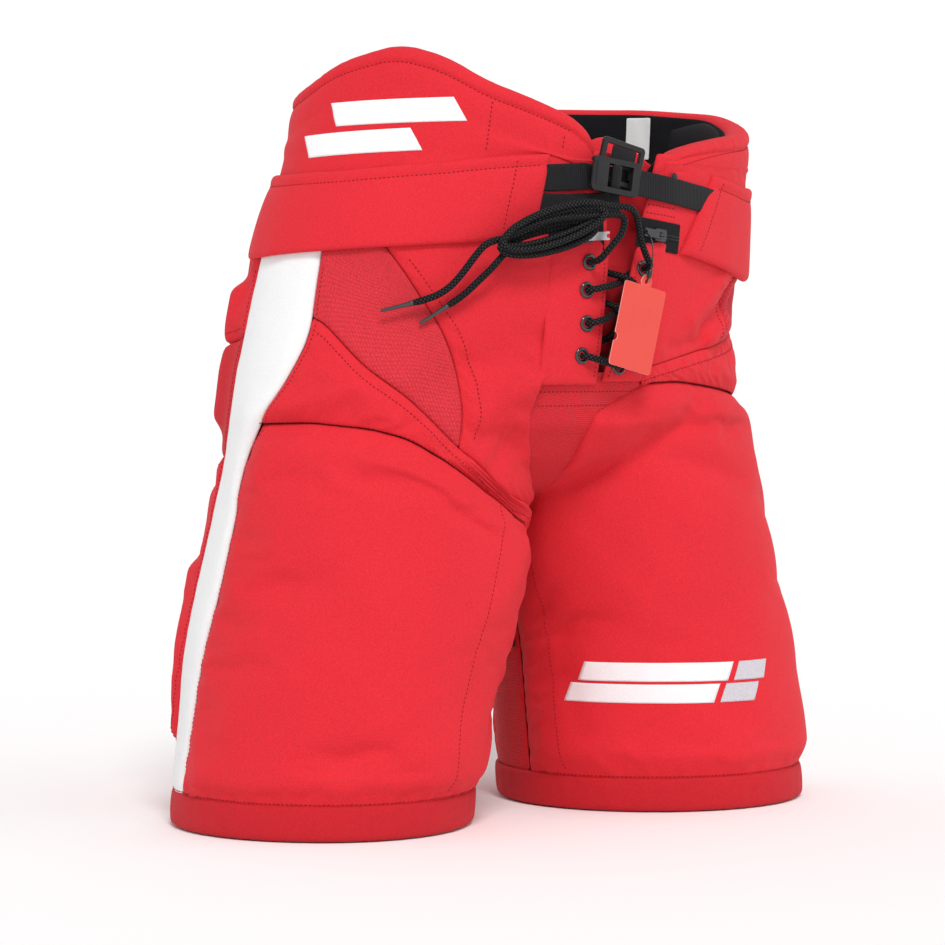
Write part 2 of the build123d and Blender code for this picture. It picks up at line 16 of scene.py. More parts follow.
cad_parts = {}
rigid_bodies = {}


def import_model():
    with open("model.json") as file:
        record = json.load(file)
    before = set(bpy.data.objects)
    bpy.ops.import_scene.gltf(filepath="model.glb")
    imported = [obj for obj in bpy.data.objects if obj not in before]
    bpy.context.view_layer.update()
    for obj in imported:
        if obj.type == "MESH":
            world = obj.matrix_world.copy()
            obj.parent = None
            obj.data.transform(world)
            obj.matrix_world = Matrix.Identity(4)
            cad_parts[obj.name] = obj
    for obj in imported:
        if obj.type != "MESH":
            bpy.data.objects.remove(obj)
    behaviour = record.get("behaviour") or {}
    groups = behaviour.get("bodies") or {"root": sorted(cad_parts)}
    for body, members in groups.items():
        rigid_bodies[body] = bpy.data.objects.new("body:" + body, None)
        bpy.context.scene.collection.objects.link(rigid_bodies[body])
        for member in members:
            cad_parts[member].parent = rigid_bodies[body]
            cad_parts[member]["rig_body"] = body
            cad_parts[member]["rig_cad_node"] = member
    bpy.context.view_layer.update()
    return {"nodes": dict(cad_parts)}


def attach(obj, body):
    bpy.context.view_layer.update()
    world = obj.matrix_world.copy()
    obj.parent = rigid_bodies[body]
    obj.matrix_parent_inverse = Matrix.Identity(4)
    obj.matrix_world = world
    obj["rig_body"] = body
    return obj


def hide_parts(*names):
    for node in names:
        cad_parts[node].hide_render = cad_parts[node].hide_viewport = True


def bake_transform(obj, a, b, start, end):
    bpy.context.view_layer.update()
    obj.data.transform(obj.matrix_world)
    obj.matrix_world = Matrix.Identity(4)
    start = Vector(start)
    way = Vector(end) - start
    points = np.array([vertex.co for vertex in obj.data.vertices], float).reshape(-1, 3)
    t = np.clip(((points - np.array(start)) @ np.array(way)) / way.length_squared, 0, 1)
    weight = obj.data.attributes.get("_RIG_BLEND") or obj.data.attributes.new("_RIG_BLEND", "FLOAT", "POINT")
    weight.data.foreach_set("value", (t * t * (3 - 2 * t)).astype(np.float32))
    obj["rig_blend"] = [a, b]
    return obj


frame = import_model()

MM = 0.001
SIDES = {"right": -1, "left": 1}
panels = {}  # every finished piece by its name

# Body shape --------------------------------------------------------------------------------
BODY_Y = 7.0
LEG_RX, LEG_RY = 117.0, 116.0
AXIS_Z, AXIS_X = (0, 128, 250, 330, 480), (146, 134, 106, 100, 96)
PELVIS_Z = (231, 330, 380, 430, 480, 530, 570)
PELVIS_RX = (224, 211, 204, 199, 192, 188, 183)
PELVIS_RY = (119, 131, 132, 130, 128, 127, 125)
PELVIS_LEAN = (0, 0, 3, 10, 22, 28, 32)
CROTCH_Z, WAIST_Z, HEM_Z = 231.0, 484.0, 25.0
FADE_Z, FADE = (235, 330, 380, 430), (1.0, 0.93, 0.8, 0.6)  # the leg's tube fades into the pelvis
CLOSE_Z, CLOSE = (224, 231, 245, 265, 290, 320), (0.0, 0.31, 0.58, 0.82, 0.96, 1.0)
NARROW_Z, NARROW = (0, 35, 52, 94, 126, 150), (15.0, 15.0, 12.0, 9.0, 2.0, 0.0)
SLIM_Z, SLIM = (30, 100, 170, 240, 300, 345, 395, 425), (0.0, 6.0, 9.0, 11.0, 13.0, 12.0, 4.0, 0.0)
NARROW_FACING, SLIM_FACING = 35, -145  # the angles at which the cloth is drawn in most
SMOOTH = 14.0


def table(z, heights, values):
    """A level table, rounded off at its corners."""
    return sum(np.interp(z + d, heights, values) for d in (-SMOOTH, 0.0, SMOOTH)) / 3.0


def centre_x(side, z):
    return table(z, PELVIS_Z, PELVIS_LEAN) + side * table(z, AXIS_Z, AXIS_X)


def soft_max(a, b, k):
    return 0.5 * (a + b + np.sqrt((a - b) ** 2 + k * k))


def half_radius(side, a, z):
    """Distance from a half's upright axis to its cloth: leg below, pelvis above, clipped at the middle."""
    t = np.radians(a)
    cos, sin = np.cos(t), np.sin(t)
    fade = np.interp(z, FADE_Z, FADE)
    leg = fade / np.sqrt((cos / LEG_RX) ** 2 + (sin / LEG_RY) ** 2)
    if side < 0:
        facing = np.maximum(0.0, np.cos(t + math.radians(NARROW_FACING)))
        leg = leg - table(z, NARROW_Z, NARROW) * facing**2
    c = table(z, AXIS_Z, AXIS_X)
    rx = table(z, PELVIS_Z, PELVIS_RX)
    ry = table(z, PELVIS_Z, PELVIS_RY) * np.maximum(np.interp(z, CLOSE_Z, CLOSE), 0.02)
    qa = cos**2 / rx**2 + sin**2 / ry**2
    qb = c * cos / rx**2
    qc = c * c / rx**2 - 1.0
    pelvis = (qb + np.sqrt(np.maximum(qb * qb - qa * qc, 0.0))) / qa
    pelvis = pelvis * np.interp(z, (222, 234), (0.0, 1.0))
    joined = soft_max(leg, pelvis, 7.0)
    if side > 0:
        facing = np.maximum(0.0, np.cos(t - math.radians(SLIM_FACING)))
        joined = joined - table(z, SLIM_Z, SLIM) * facing**2
    limit = (c - 0.6) / np.maximum(cos, 0.05)
    return np.minimum(joined, limit)


def grids(*values):
    return np.broadcast_arrays(*(np.asarray(value, float) for value in values))


def unit_grid(rows, columns):
    """Shares from 0 to 1 along the columns and up the rows."""
    return np.meshgrid(np.linspace(0, 1, columns), np.linspace(0, 1, rows))


def skin(side, a, z, out=0.0):
    """Points of one half's cloth; out is how far they stand proud of it."""
    a, z, out = grids(a, z, out)
    r = half_radius(side, a, z) + out
    t = np.radians(a)
    x = centre_x(side, z) - side * r * np.cos(t)
    return np.stack([x, BODY_Y + r * np.sin(t), z], axis=-1)


def ring(a, z, out=0.0):
    """Points of the pelvis' ellipse: angle 0 is the wearer's left, -90 the front."""
    a, z, out = grids(a, z, out)
    t = np.radians(a)
    x = table(z, PELVIS_Z, PELVIS_LEAN) + (table(z, PELVIS_Z, PELVIS_RX) + out) * np.cos(t)
    y = BODY_Y + (table(z, PELVIS_Z, PELVIS_RY) + out) * np.sin(t)
    return np.stack([x, y, z], axis=-1)


def front(x, z, out=0.0):
    """Points of the pelvis' front by x and z."""
    x, z, out = grids(x, z, out)
    share = (x - table(z, PELVIS_Z, PELVIS_LEAN)) / (table(z, PELVIS_Z, PELVIS_RX) + out)
    y = BODY_Y - (table(z, PELVIS_Z, PELVIS_RY) + out) * np.sqrt(1.0 - np.minimum(share**2, 0.98))
    return np.stack([x, y, z], axis=-1)


def front_angle(side, x, z):
    """The angle, on one half, of the cloth's front at x."""
    close = np.maximum(np.interp(z, CLOSE_Z, CLOSE), 0.02)
    y = (BODY_Y - front(x, z)[..., 1]) * close
    return np.degrees(np.arctan2(-y, (x - centre_x(side, z)) * -side))


def back_angle(side, z):
    """The angle, on one half, where its cloth meets the other half's at the back."""
    low, high = np.full(np.shape(z), 4.0), np.full(np.shape(z), 100.0)
    for _ in range(26):
        middle = (low + high) / 2.0
        over = (skin(side, middle, z)[..., 0] - table(z, PELVIS_Z, PELVIS_LEAN)) * side < 1.0
        low, high = np.where(over, middle, low), np.where(over, high, middle)
    return low


# Meshes ----------------------------------------------------------------------------------------
def finish_mesh(name, points, faces, uvs, material, rounded=True):
    mesh = bpy.data.meshes.new(name)
    mesh.from_pydata((np.asarray(points) * MM).tolist(), [], faces)
    if uvs is not None:
        layer = mesh.uv_layers.new(name="UVMap")
        index = np.empty(len(mesh.loops), int)
        mesh.loops.foreach_get("vertex_index", index)
        layer.data.foreach_set("uv", np.asarray(uvs, float)[index].ravel())
    work = bmesh.new()
    work.from_mesh(mesh)
    bmesh.ops.recalc_face_normals(work, faces=work.faces)
    for face in work.faces:
        face.smooth = True
    work.to_mesh(mesh)
    work.free()
    mesh.materials.append(material)
    piece = bpy.data.objects.new(name, mesh)
    bpy.context.scene.collection.objects.link(piece)
    if rounded:
        subdivide(piece)
    return piece


def keep(piece, *nodes):
    """Puts a finished piece with the others, and in place of the CAD nodes that it stands for."""
    if nodes:
        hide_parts(*nodes)
    panels[piece.name] = piece
    return piece


def apply_modifiers(piece):
    graph = bpy.context.evaluated_depsgraph_get()
    done = bpy.data.meshes.new_from_object(piece.evaluated_get(graph))
    piece.modifiers.clear()
    piece.data = done


def subdivide(piece):
    modifier = piece.modifiers.new("round", "SUBSURF")
    modifier.levels = modifier.render_levels = 1
    apply_modifiers(piece)


SETTLE_FRAMES, SETTLE_PRESSURE, SETTLE_SLACK = 20, 3.0, -0.05
CLOTH_SETTINGS = {"quality": 5, "mass": 0.25, "tension_stiffness": 12.0, "compression_stiffness": 12.0,
                  "shear_stiffness": 4.0, "bending_stiffness": 0.3, "use_pressure": True,
                  "uniform_pressure_force": SETTLE_PRESSURE, "vertex_group_mass": "held", "shrink_min": SETTLE_SLACK}


def settle(piece, held, cap):
    """Lets padded cloth fill out and wrinkle by cloth simulation, held along its seams and its back.

    held is each point's hold, 0 to 1; cap is the largest move in millimetres.
    """
    scene = bpy.context.scene
    count = len(piece.data.vertices)
    before = np.empty(count * 3)
    piece.data.vertices.foreach_get("co", before)
    before = before.reshape(-1, 3)
    group = piece.vertex_groups.new(name="held")
    for index, hold in enumerate(held):
        if hold > 0:
            group.add([index], float(hold), "REPLACE")
    modifier = piece.modifiers.new("cloth", "CLOTH")
    for key, value in CLOTH_SETTINGS.items():
        setattr(modifier.settings, key, value)
    modifier.settings.effector_weights.gravity = 0.0
    modifier.collision_settings.use_collision = False
    modifier.collision_settings.use_self_collision = False
    modifier.point_cache.frame_start = 1
    modifier.point_cache.frame_end = SETTLE_FRAMES
    for number in range(1, SETTLE_FRAMES + 1):
        scene.frame_set(number)
    graph = bpy.context.evaluated_depsgraph_get()
    after = np.empty(count * 3)
    piece.evaluated_get(graph).data.vertices.foreach_get("co", after)
    piece.modifiers.remove(modifier)
    piece.vertex_groups.clear()
    scene.frame_set(1)
    move = after.reshape(-1, 3) - before
    size = np.linalg.norm(move, axis=1)
    limit = cap * MM
    share = np.where(size > 1e-9, limit * np.tanh(size / limit) / np.maximum(size, 1e-9), 0.0)
    piece.data.vertices.foreach_set("co", (before + move * share[:, None]).ravel())
    piece.data.update()


def hold_seams(rows, columns, soft=3.0, grooves=()):
    """Holds for a closed sheet: all of its back, its edges, and any sewn grooves along its rows."""
    i, j = np.arange(rows)[:, None], np.arange(columns)[None, :]
    edge = np.minimum(np.minimum(i, rows - 1 - i), np.minimum(j, columns - 1 - j)) * np.ones((rows, columns))
    front_hold = np.clip(1.0 - edge / soft, 0, 1)
    for row in grooves:
        front_hold = np.maximum(front_hold, np.clip(1.0 - np.abs(i - row) / 1.2, 0, 1) * np.ones((rows, columns)))
    return np.concatenate([front_hold.ravel(), np.ones(rows * columns)])


def grid_faces(rows, columns, start=0, wrap=False, flip=False):
    faces = []
    last = columns if wrap else columns - 1
    for j in range(rows - 1):
        for i in range(last):
            k = (i + 1) % columns
            quad = (start + j * columns + i, start + j * columns + k,
                    start + (j + 1) * columns + k, start + (j + 1) * columns + i)
            faces.append(quad[::-1] if flip else quad)
    return faces


UV_SIZE = 10.0  # millimetres of cloth to one unit of its UV map
LEAST_AREA_SHARE = 0.35


def lengths(grid):
    """Distances along the columns' and rows' directions from their starts, in millimetres."""
    across = np.linalg.norm(np.diff(grid, axis=1), axis=2)
    up = np.linalg.norm(np.diff(grid, axis=0), axis=2)
    u = np.concatenate([np.zeros((grid.shape[0], 1)), np.cumsum(across, axis=1)], axis=1)
    v = np.concatenate([np.zeros((1, grid.shape[1])), np.cumsum(up, axis=0)], axis=0)
    return u, v


def closed_sheet(name, outer, inner, material, wrap=False, rounded=True):
    """A closed piece of cloth between an outer and an inner grid of points.
    """
    rows, columns = outer.shape[:2]
    points = np.concatenate([outer.reshape(-1, 3), inner.reshape(-1, 3)])
    faces = grid_faces(rows, columns, 0, wrap) + grid_faces(rows, columns, rows * columns, wrap, True)
    back = rows * columns
    last = columns if wrap else columns - 1
    for i in range(last):
        k = (i + 1) % columns
        faces.append((k, i, back + i, back + k))
        top = (rows - 1) * columns
        faces.append((top + i, top + k, back + top + k, back + top + i))
    if not wrap:
        for j in range(rows - 1):
            a, b = j * columns, (j + 1) * columns
            faces.append((a, b, back + b, back + a))
            a, b = a + columns - 1, b + columns - 1
            faces.append((b, a, back + a, back + b))
    u, v = lengths(outer)
    uv = np.stack([u.ravel(), v.ravel()], axis=-1) / UV_SIZE
    round_trip = columns / (columns - 1.0) if wrap else 1.0
    wide, high = np.diff(outer, axis=1)[:-1], np.diff(outer, axis=0)[:, :-1]
    area = float(np.linalg.norm(np.cross(wide, high), axis=2).sum()) * MM * MM * round_trip
    flat = (float(u[:, -1].max()) * MM * round_trip, float(v[-1, :].max()) * MM)
    if area < LEAST_AREA_SHARE * flat[0] * flat[1]:
        flat = (flat[0], area / (LEAST_AREA_SHARE * flat[0]))
    return finish_mesh(name, points, faces, np.concatenate([uv, uv]), material, rounded)


def seam(value, points, smooth=3.0):
    """A seam's height at an angle, or angle at a height, from its few points."""
    xs, ys = zip(*points)
    return sum(np.interp(value + d, xs, ys) for d in (-smooth, 0.0, smooth)) / 3.0


def patch_places(low_a, high_a, low_z, high_z, columns, rows):
    """Angles and heights of a four-sided panel whose sides are seams."""
    u, v = unit_grid(rows, columns)
    a = low_a(np.full(u.shape, 200.0)) * (1 - u) + high_a(np.full(u.shape, 200.0)) * u
    for _ in range(12):
        z = low_z(a) * (1 - v) + high_z(a) * v
        a = low_a(z) * (1 - u) + high_a(z) * u
    return a, z


def pillow(grid, dip, bulge, soft):
    """How far each point of a panel stands proud: sunk along its seams, full in its middle."""
    u, v = lengths(grid)
    sides = (("l", u, v), ("r", u[:, -1:] - u, v), ("b", v, u), ("t", v[-1:, :] - v, u))
    close = sum(np.maximum(distance, 0.05) ** -3.0 for _, distance, _ in sides) ** (-1.0 / 3.0)
    t = np.clip(close / soft, 0, 1)
    gather = np.zeros(u.shape)
    for name, distance, along in sides:
        ripple = np.sin(0.46 * along + 1.7 * np.sin(0.11 * along) + ord(name))
        gather = gather + ripple * np.exp(-(((distance - 5.0) / 5.0) ** 2))
    slack = np.sin(0.061 * u + 0.9 * np.sin(0.043 * v)) * np.sin(0.052 * v + 1.1 * np.sin(0.037 * u + 1.0))
    size = min(bulge, 6.0) / 6.0
    dome = (dip + bulge) * np.sin(t * math.pi / 2) ** 0.8
    return -dip + dome + (0.18 + 0.25 * size) * gather + (0.3 + 0.9 * size) * slack * t


# Materials --------------------------------------------------------------------------------------
def new_material(name, colour, roughness, metallic=0.0, sheen=0.0, coat=0.0, shine=0.5):
    material = bpy.data.materials.new(name)
    material.use_nodes = True
    shader = material.node_tree.nodes["Principled BSDF"]
    for key, value in (("Base Color", (*colour, 1)), ("Roughness", roughness), ("Metallic", metallic),
                       ("Sheen Weight", sheen), ("Specular IOR Level", shine), ("Sheen Roughness", 0.5),
                       ("Coat Weight", coat)):
        shader.inputs[key].default_value = value
    return material, material.node_tree, shader


def node(tree, kind, ins=None, **settings):
    """A node with its settings; ins gives each input a value, or the output that feeds it."""
    made = tree.nodes.new(kind)
    for key, value in settings.items():
        setattr(made, key, value)
    for key, value in (ins or {}).items():
        if isinstance(value, bpy.types.NodeSocket):
            tree.links.new(value, made.inputs[key])
        else:
            made.inputs[key].default_value = value
    return made


def noise(tree, vector, scale, detail):
    return node(tree, "ShaderNodeTexNoise", {"Vector": vector, "Scale": scale, "Detail": detail}).outputs["Fac"]


def maths(tree, operation, *values):
    return node(tree, "ShaderNodeMath", dict(enumerate(values)), operation=operation).outputs[0]


def mix_colour(tree, factor, dark, light):
    mix = node(tree, "ShaderNodeMix", data_type="RGBA")
    mix.inputs["A"].default_value = (*dark, 1)
    mix.inputs["B"].default_value = (*light, 1)
    tree.links.new(factor, mix.inputs["Factor"])
    return mix.outputs["Result"]


def cloth(name, dark, light, pitch=0.55, bump=0.35, roughness=0.8, sheen=0.03, ribs=None, mesh=False,
          across=False, shine=0.22, painted_highlight=False):
    """Woven cloth: threads both ways, uneven dye and soft wear. ribs makes a ribbed knit of that pitch. The last
    switch makes the colour follow the threads' height alone: a painted highlight on the raised strands.
    """
    material, tree, shader = new_material(name, light, roughness, sheen=sheen, shine=shine)
    place = node(tree, "ShaderNodeTexCoord").outputs
    turns = ((0.0, pitch), (math.pi / 2, pitch))
    if ribs:
        turns = ((0.0, ribs), (math.pi / 2, pitch)) if across else ((math.pi / 2, ribs), (0.0, pitch))
    if mesh:
        turns = ((0.9, pitch), (-0.9, pitch))
    waves = []
    for turn, size in turns:
        turned = node(tree, "ShaderNodeMapping", {"Vector": place["UV"], "Rotation": (0, 0, turn)})
        wave = node(tree, "ShaderNodeTexWave", {"Vector": turned.outputs["Vector"], "Distortion": 0.6, "Detail": 1.0,
                                                "Detail Scale": 2.0, "Scale": UV_SIZE * 2 * math.pi / 20.0 / size})
        waves.append(wave.outputs["Fac"])
    weave = maths(tree, "MULTIPLY", *waves)
    height = waves[0] if ribs else weave
    tone = maths(tree, "MULTIPLY", noise(tree, place["Object"], 9.0, 4.0), 0.30)
    spots = maths(tree, "MULTIPLY_ADD", noise(tree, place["Object"], 1000.0, 2.0), 0.95, tone)
    # For the lace the colour is the threads' height alone: light on the raised strands, as a painted highlight.
    factor = height if painted_highlight else maths(tree, "MULTIPLY_ADD", height, 0.35, spots)
    tree.links.new(mix_colour(tree, factor, dark, light), shader.inputs["Base Color"])
    folds = node(tree, "ShaderNodeBump", {"Height": noise(tree, place["Object"], 26.0, 4.0), "Strength": 0.55,
                                          "Distance": 0.0022})
    relief = node(tree, "ShaderNodeBump", {"Height": height, "Normal": folds.outputs["Normal"], "Strength": bump,
                                           "Distance": 0.0003})
    tree.links.new(relief.outputs["Normal"], shader.inputs["Normal"])
    return material


def painted(name, colour, roughness, metallic=0.0, coat=0.0, grain=900.0, bump=0.15, wear=None, shine=0.5):
    """Moulded plastic, paint or metal with a fine grain and slightly worn, uneven gloss."""
    material, tree, shader = new_material(name, colour, roughness, metallic, 0.0, coat, shine)
    place = node(tree, "ShaderNodeTexCoord").outputs["Object"]
    patches = noise(tree, place, 60.0, 3.0)
    gloss = node(tree, "ShaderNodeMapRange", {"Value": patches, "To Min": max(roughness - 0.08, 0.03),
                                              "To Max": roughness + 0.12})
    tree.links.new(gloss.outputs["Result"], shader.inputs["Roughness"])
    worn = wear or tuple(min(1.0, c * 1.6 + 0.01) for c in colour)
    tree.links.new(mix_colour(tree, patches, colour, worn), shader.inputs["Base Color"])
    relief = node(tree, "ShaderNodeBump", {"Height": noise(tree, place, grain, 3.0), "Strength": bump,
                                           "Distance": 0.0001})
    tree.links.new(relief.outputs["Normal"], shader.inputs["Normal"])
    return material


RED_DARK, RED_LIGHT = (0.40, 0.009, 0.016), (0.80, 0.024, 0.038)
M = {
    "shell": cloth("shell_cloth", RED_DARK, RED_LIGHT),
    "hem": cloth("hem_cloth", (0.30, 0.006, 0.012), (0.60, 0.016, 0.026), roughness=0.85),
    "mesh": cloth("vent_mesh", (0.16, 0.004, 0.008), (0.74, 0.034, 0.05), pitch=3.2, bump=1.0, mesh=True),
    "rib": cloth("rib_knit", (0.26, 0.006, 0.011), (0.68, 0.022, 0.034), ribs=1.6, bump=0.9),
    "stripe": cloth("stripe_cloth", (0.72, 0.72, 0.73), (0.90, 0.90, 0.90), roughness=0.75),
    "lining": cloth("lining_cloth", (0.002, 0.002, 0.0025), (0.012, 0.012, 0.014), pitch=1.1, roughness=0.9,
                    shine=0.1),
    "thread": cloth("thread", (0.20, 0.003, 0.007), (0.40, 0.008, 0.014), pitch=0.4),
}

# Panels of each half --------------------------------------------------------------------------------
TOP_SEAM = {  # top of the thigh pad: angle, height
    "right": [(-200, 290), (-150, 293), (-127, 289), (-113, 282), (-98, 266), (-78, 242), (-55, 222), (-25, 205)],
    "left": [(-200, 300), (-121, 313), (-80, 321), (-66, 320), (-58, 312), (-52, 303), (-46, 291), (-38, 277),
             (-31, 265), (-23, 252), (-12, 237), (0, 222)],
}
YOKE_SEAM = {  # lower edge of the vent and of the front panel
    "right": [(-200, 385), (-158, 370), (-149, 364), (-131, 333), (-113, 309), (-93, 274), (-67, 240), (-45, 230),
              (-19, 226)],
    "left": [(-200, 380), (-158, 362), (-131, 352), (-113, 348), (-93, 343), (-80, 338), (-66, 331), (-58, 320),
             (-52, 309), (-46, 297), (-38, 283), (-31, 271), (-23, 259), (-12, 245), (-2, 233)],
}
STRIPE_FRONT = [(0, -195), (25, -193), (166, -181.5), (258, -179.5), (291, -172), (323, -161), (355, -154),
                (415, -155)]
STRIPE_BACK = [(0, -222), (25, -221), (128, -210), (282, -197), (415, -195)]
VENT_EDGE = {
    "right": [(274, -93), (295, -92), (327, -94.6), (361, -103), (398, -118), (417, -127.7), (445, -140)],
    "left": [(340, -112), (361, -116), (398, -124), (417, -130), (445, -140)],
}
INNER_EDGE = {"right": -25.0, "left": -2.0}
BACK_EDGE = 40.0
FRONT_EDGE = {  # x of the front panel's middle edge: the gusset's seam, then the fly
    "right": [(231, 0), (238, -22), (245, -30), (255, -34), (265, -39), (280, -46), (300, -51), (322, -51),
              (338, -22), (346, -3), (411, 7), (490, 16)],
    "left": [(231, 0), (256, 1), (268, 8), (280, 16), (302, 34), (316, 42), (322, 40), (338, 16), (346, 10),
             (403, 28), (490, 56)],
}
GUSSET_TOP = 328.0
INNER_RIB_TOP, VENT_TOP, SEAT_TOP, FRONT_TOP = 207, 432, 470, 487  # heights, all but the first under the belt
STRIPE_SMOOTH, VENT_SMOOTH, FRONT_SMOOTH, RIM_SMOOTH = 10, 6, 2.0, 4.0
SEAT_LOW = [(40, 200), (90, 238), (140, 262), (170, 274)]
SEAT_HIGH = [(40, 226), (90, 300), (140, 344), (170, 358)]

CREASES = {  # start angle and height, end angle and height, width, lift
    "right": [
        (-176, 296, -120, 322, 13, 3.5), (-170, 286, -135, 303, 9, -2.5), (-100, 322, -70, 352, 14, -4.0),
        (-84, 300, -62, 330, 12, 4.0), (-75, 262, -62, 300, 10, -3.0), (-60, 180, -52, 215, 9, 2.5),
        (-48, 60, -40, 150, 10, -2.5), (-120, 60, -100, 75, 12, -1.2),
        (147, 296, 150, 385, 9, 11.0), (141, 66, 145, 182, 8, 7.0), (-90, 130, -62, 170, 12, 1.6),
        (-140, 180, -110, 215, 13, -1.8),
    ],
    "left": [
        (-100, 352, -125, 366, 8, 5.0), (-95, 362, -120, 382, 8, -5.0), (-88, 366, -105, 392, 9, 4.0),
        (-130, 372, -142, 384, 10, -6.0), (-76, 345, -96, 352, 6, -3.0), (-110, 398, -135, 404, 9, 3.0),
        (-150, 200, -135, 230, 14, -3.0), (-150, 120, -140, 160, 16, -2.5), (-30, 60, -24, 130, 9, -2.0),
        (-110, 240, -80, 262, 12, -1.8), (-60, 140, -40, 200, 12, 1.6),
    ],
}


CREASE_RADIUS = 110.0  # turns a crease's angles into millimetres


def creases(word, a, z):
    """Folds of the cloth: soft ridges and valleys along short lines."""
    total = np.zeros(np.shape(a))
    scale = math.radians(CREASE_RADIUS)
    for a0, z0, a1, z1, width, lift in CREASES[word]:
        ex, ez = (a1 - a0) * scale, z1 - z0
        px, pz = (a - a0) * scale, z - z0
        t = (px * ex + pz * ez) / (ex * ex + ez * ez)
        inside = np.clip(t, 0, 1)
        d = np.hypot(px - inside * ex, pz - inside * ez)
        total = total + lift * np.exp(-((d / width) ** 2))
    return total


BLEND_START_Z, BLEND_LENGTH = 0.236, 0.092
SLOPE = 0.7


def across_hip(piece, word):
    """Cloth that bends over the hip: the same slanted band on every piece of a half."""
    side = SIDES[word]
    norm = math.hypot(SLOPE, 1.0)
    start = Vector((0.0, 0.0, BLEND_START_Z))
    end = start + Vector((side * SLOPE, 0.0, -1.0)) / norm * BLEND_LENGTH
    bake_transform(piece, "waist", f"leg_{word}", start=start, end=end)


def panel(name, word, edges, counts, shape, thick, material, cap, nodes):
    """One piece of a half between four seams; cap is how far the simulation may move it, or nothing."""
    side = SIDES[word]
    a, z = patch_places(*edges, *counts)
    lift = pillow(skin(side, a, z), *shape) + creases(word, a, z)
    outer = skin(side, a, z, lift)
    inner = skin(side, a, z, np.minimum(lift - 0.6, 0.0) - thick * np.ones(a.shape))
    piece = closed_sheet(name, outer, inner, M[material], rounded=False)
    if cap:
        settle(piece, hold_seams(*a.shape), cap)
    subdivide(piece)
    keep(piece, *nodes)


def level(value):
    return lambda other: np.full(np.shape(other), float(value))


def make_half(word):
    side = SIDES[word]
    top = lambda a: seam(a, TOP_SEAM[word])
    yoke = lambda a: seam(a, YOKE_SEAM[word])
    stripe = lambda z: seam(z, STRIPE_FRONT, STRIPE_SMOOTH)
    stripe_back = lambda z: seam(z, STRIPE_BACK, STRIPE_SMOOTH)
    stripe_rear = lambda z: stripe_back(z) + 360.0
    vent = lambda z: seam(z, VENT_EDGE[word], VENT_SMOOTH)
    middle = lambda z: front_angle(side, seam(z, FRONT_EDGE[word], FRONT_SMOOTH), z)
    back_middle = lambda z: back_angle(side, z) - 3.5
    seat_low = lambda a: seam(a, SEAT_LOW)
    seat_high = lambda a: seam(a, SEAT_HIGH)
    low, inner, back = level(HEM_Z - 3.0), level(INNER_EDGE[word]), level(BACK_EDGE)
    for name, edges, counts, shape, thick, material, cap, nodes in (
            ("thigh_pad", (stripe, inner, low, top), (64, 54), (2.0, 5.0, 26.0), 9.0, "shell", 5.0,
             ("thigh_panel", "thigh_foam")),
            ("yoke", (stripe, middle, top, yoke), (60, 14), (1.2, 1.4, 12.0), 2.2, "shell", 2.5, ()),
            ("vent_mesh", (stripe, vent, yoke, level(VENT_TOP)), (40, 34), (1.2, 0.8, 6.0), 2.0, "mesh", 0,
             ("front_vent",)),
            ("front_panel", (vent, middle, yoke, level(FRONT_TOP)), (34, 54), (1.2, 0.4, 8.0), 2.2, "shell", 1.2,
             ("pelvis_front",)),
            ("inner_rib", (inner, back, low, level(INNER_RIB_TOP)), (16, 40), (1.0, -1.0, 8.0), 2.4, "rib", 0,
             ("inner_panel",)),
            ("back_thigh", (back, stripe_rear, low, seat_low), (44, 46), (1.4, 2.0, 14.0), 2.4, "shell", 3.0,
             ("back_thigh_panel",)),
            ("seat_stretch", (back_middle, stripe_rear, seat_low, seat_high), (36, 18), (1.2, 1.0, 8.0), 2.2,
             "rib", 0, ("seat_gusset",)),
            ("seat", (back_middle, stripe_rear, seat_high, level(SEAT_TOP)), (38, 30), (1.2, 2.0, 14.0), 2.4,
             "shell", 3.0, ()),
            ("side_stripe", (stripe_back, stripe, low, level(SEAT_TOP)), (12, 80), (1.0, 1.2, 7.0), 2.2, "stripe",
             0, ("side_stripe_panel",))):
        panel(f"{name}_{word}", word, edges, counts, shape, thick, material, cap, [f"{n}_{word}" for n in nodes])


for word in SIDES:
    make_half(word)
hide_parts("seat_panel")
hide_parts("hip_stripes")

# Hem bands --------------------------------------------------------------------------------------
def make_hem(word):
    side = SIDES[word]
    a = np.linspace(-180, 180, 121)[:-1]
    section = [(-1.0, 25.6), (0.6, 25.2), (1.6, 23.6), (2.0, 19.0), (2.1, 12.0), (1.9, 6.0), (1.2, 2.2), (-1.0, 0.4),
               (-4.0, 0.0), (-9.0, 0.0), (-14.0, 0.3), (-17.0, 2.0), (-18.0, 6.0), (-18.0, 14.0), (-17.6, 22.0)]
    pucker = 0.35 * np.sin(np.radians(a) * 47) + 0.25 * np.sin(np.radians(a) * 83 + 1.0)
    outer, inner = [], []
    for i, (out, z) in enumerate(section):
        sway = pucker * min(1.0, i / 3.0) if out > -2 else 0.0 * pucker
        outer.append(skin(side, a, np.full(a.shape, z), out + sway))
        slim_out = max(min(out, -0.5) - 1.6, -16.2) if i < 7 else min(out + 1.6, -2.4)
        slim_z = max(z, 1.8) if i < 12 else z
        inner.append(skin(side, a, np.full(a.shape, slim_z), slim_out))
    piece = closed_sheet(f"hem_{word}", np.array(outer), np.array(inner), M["hem"], wrap=True)
    keep(piece, f"hem_band_{word}")


for word in SIDES:
    make_hem(word)

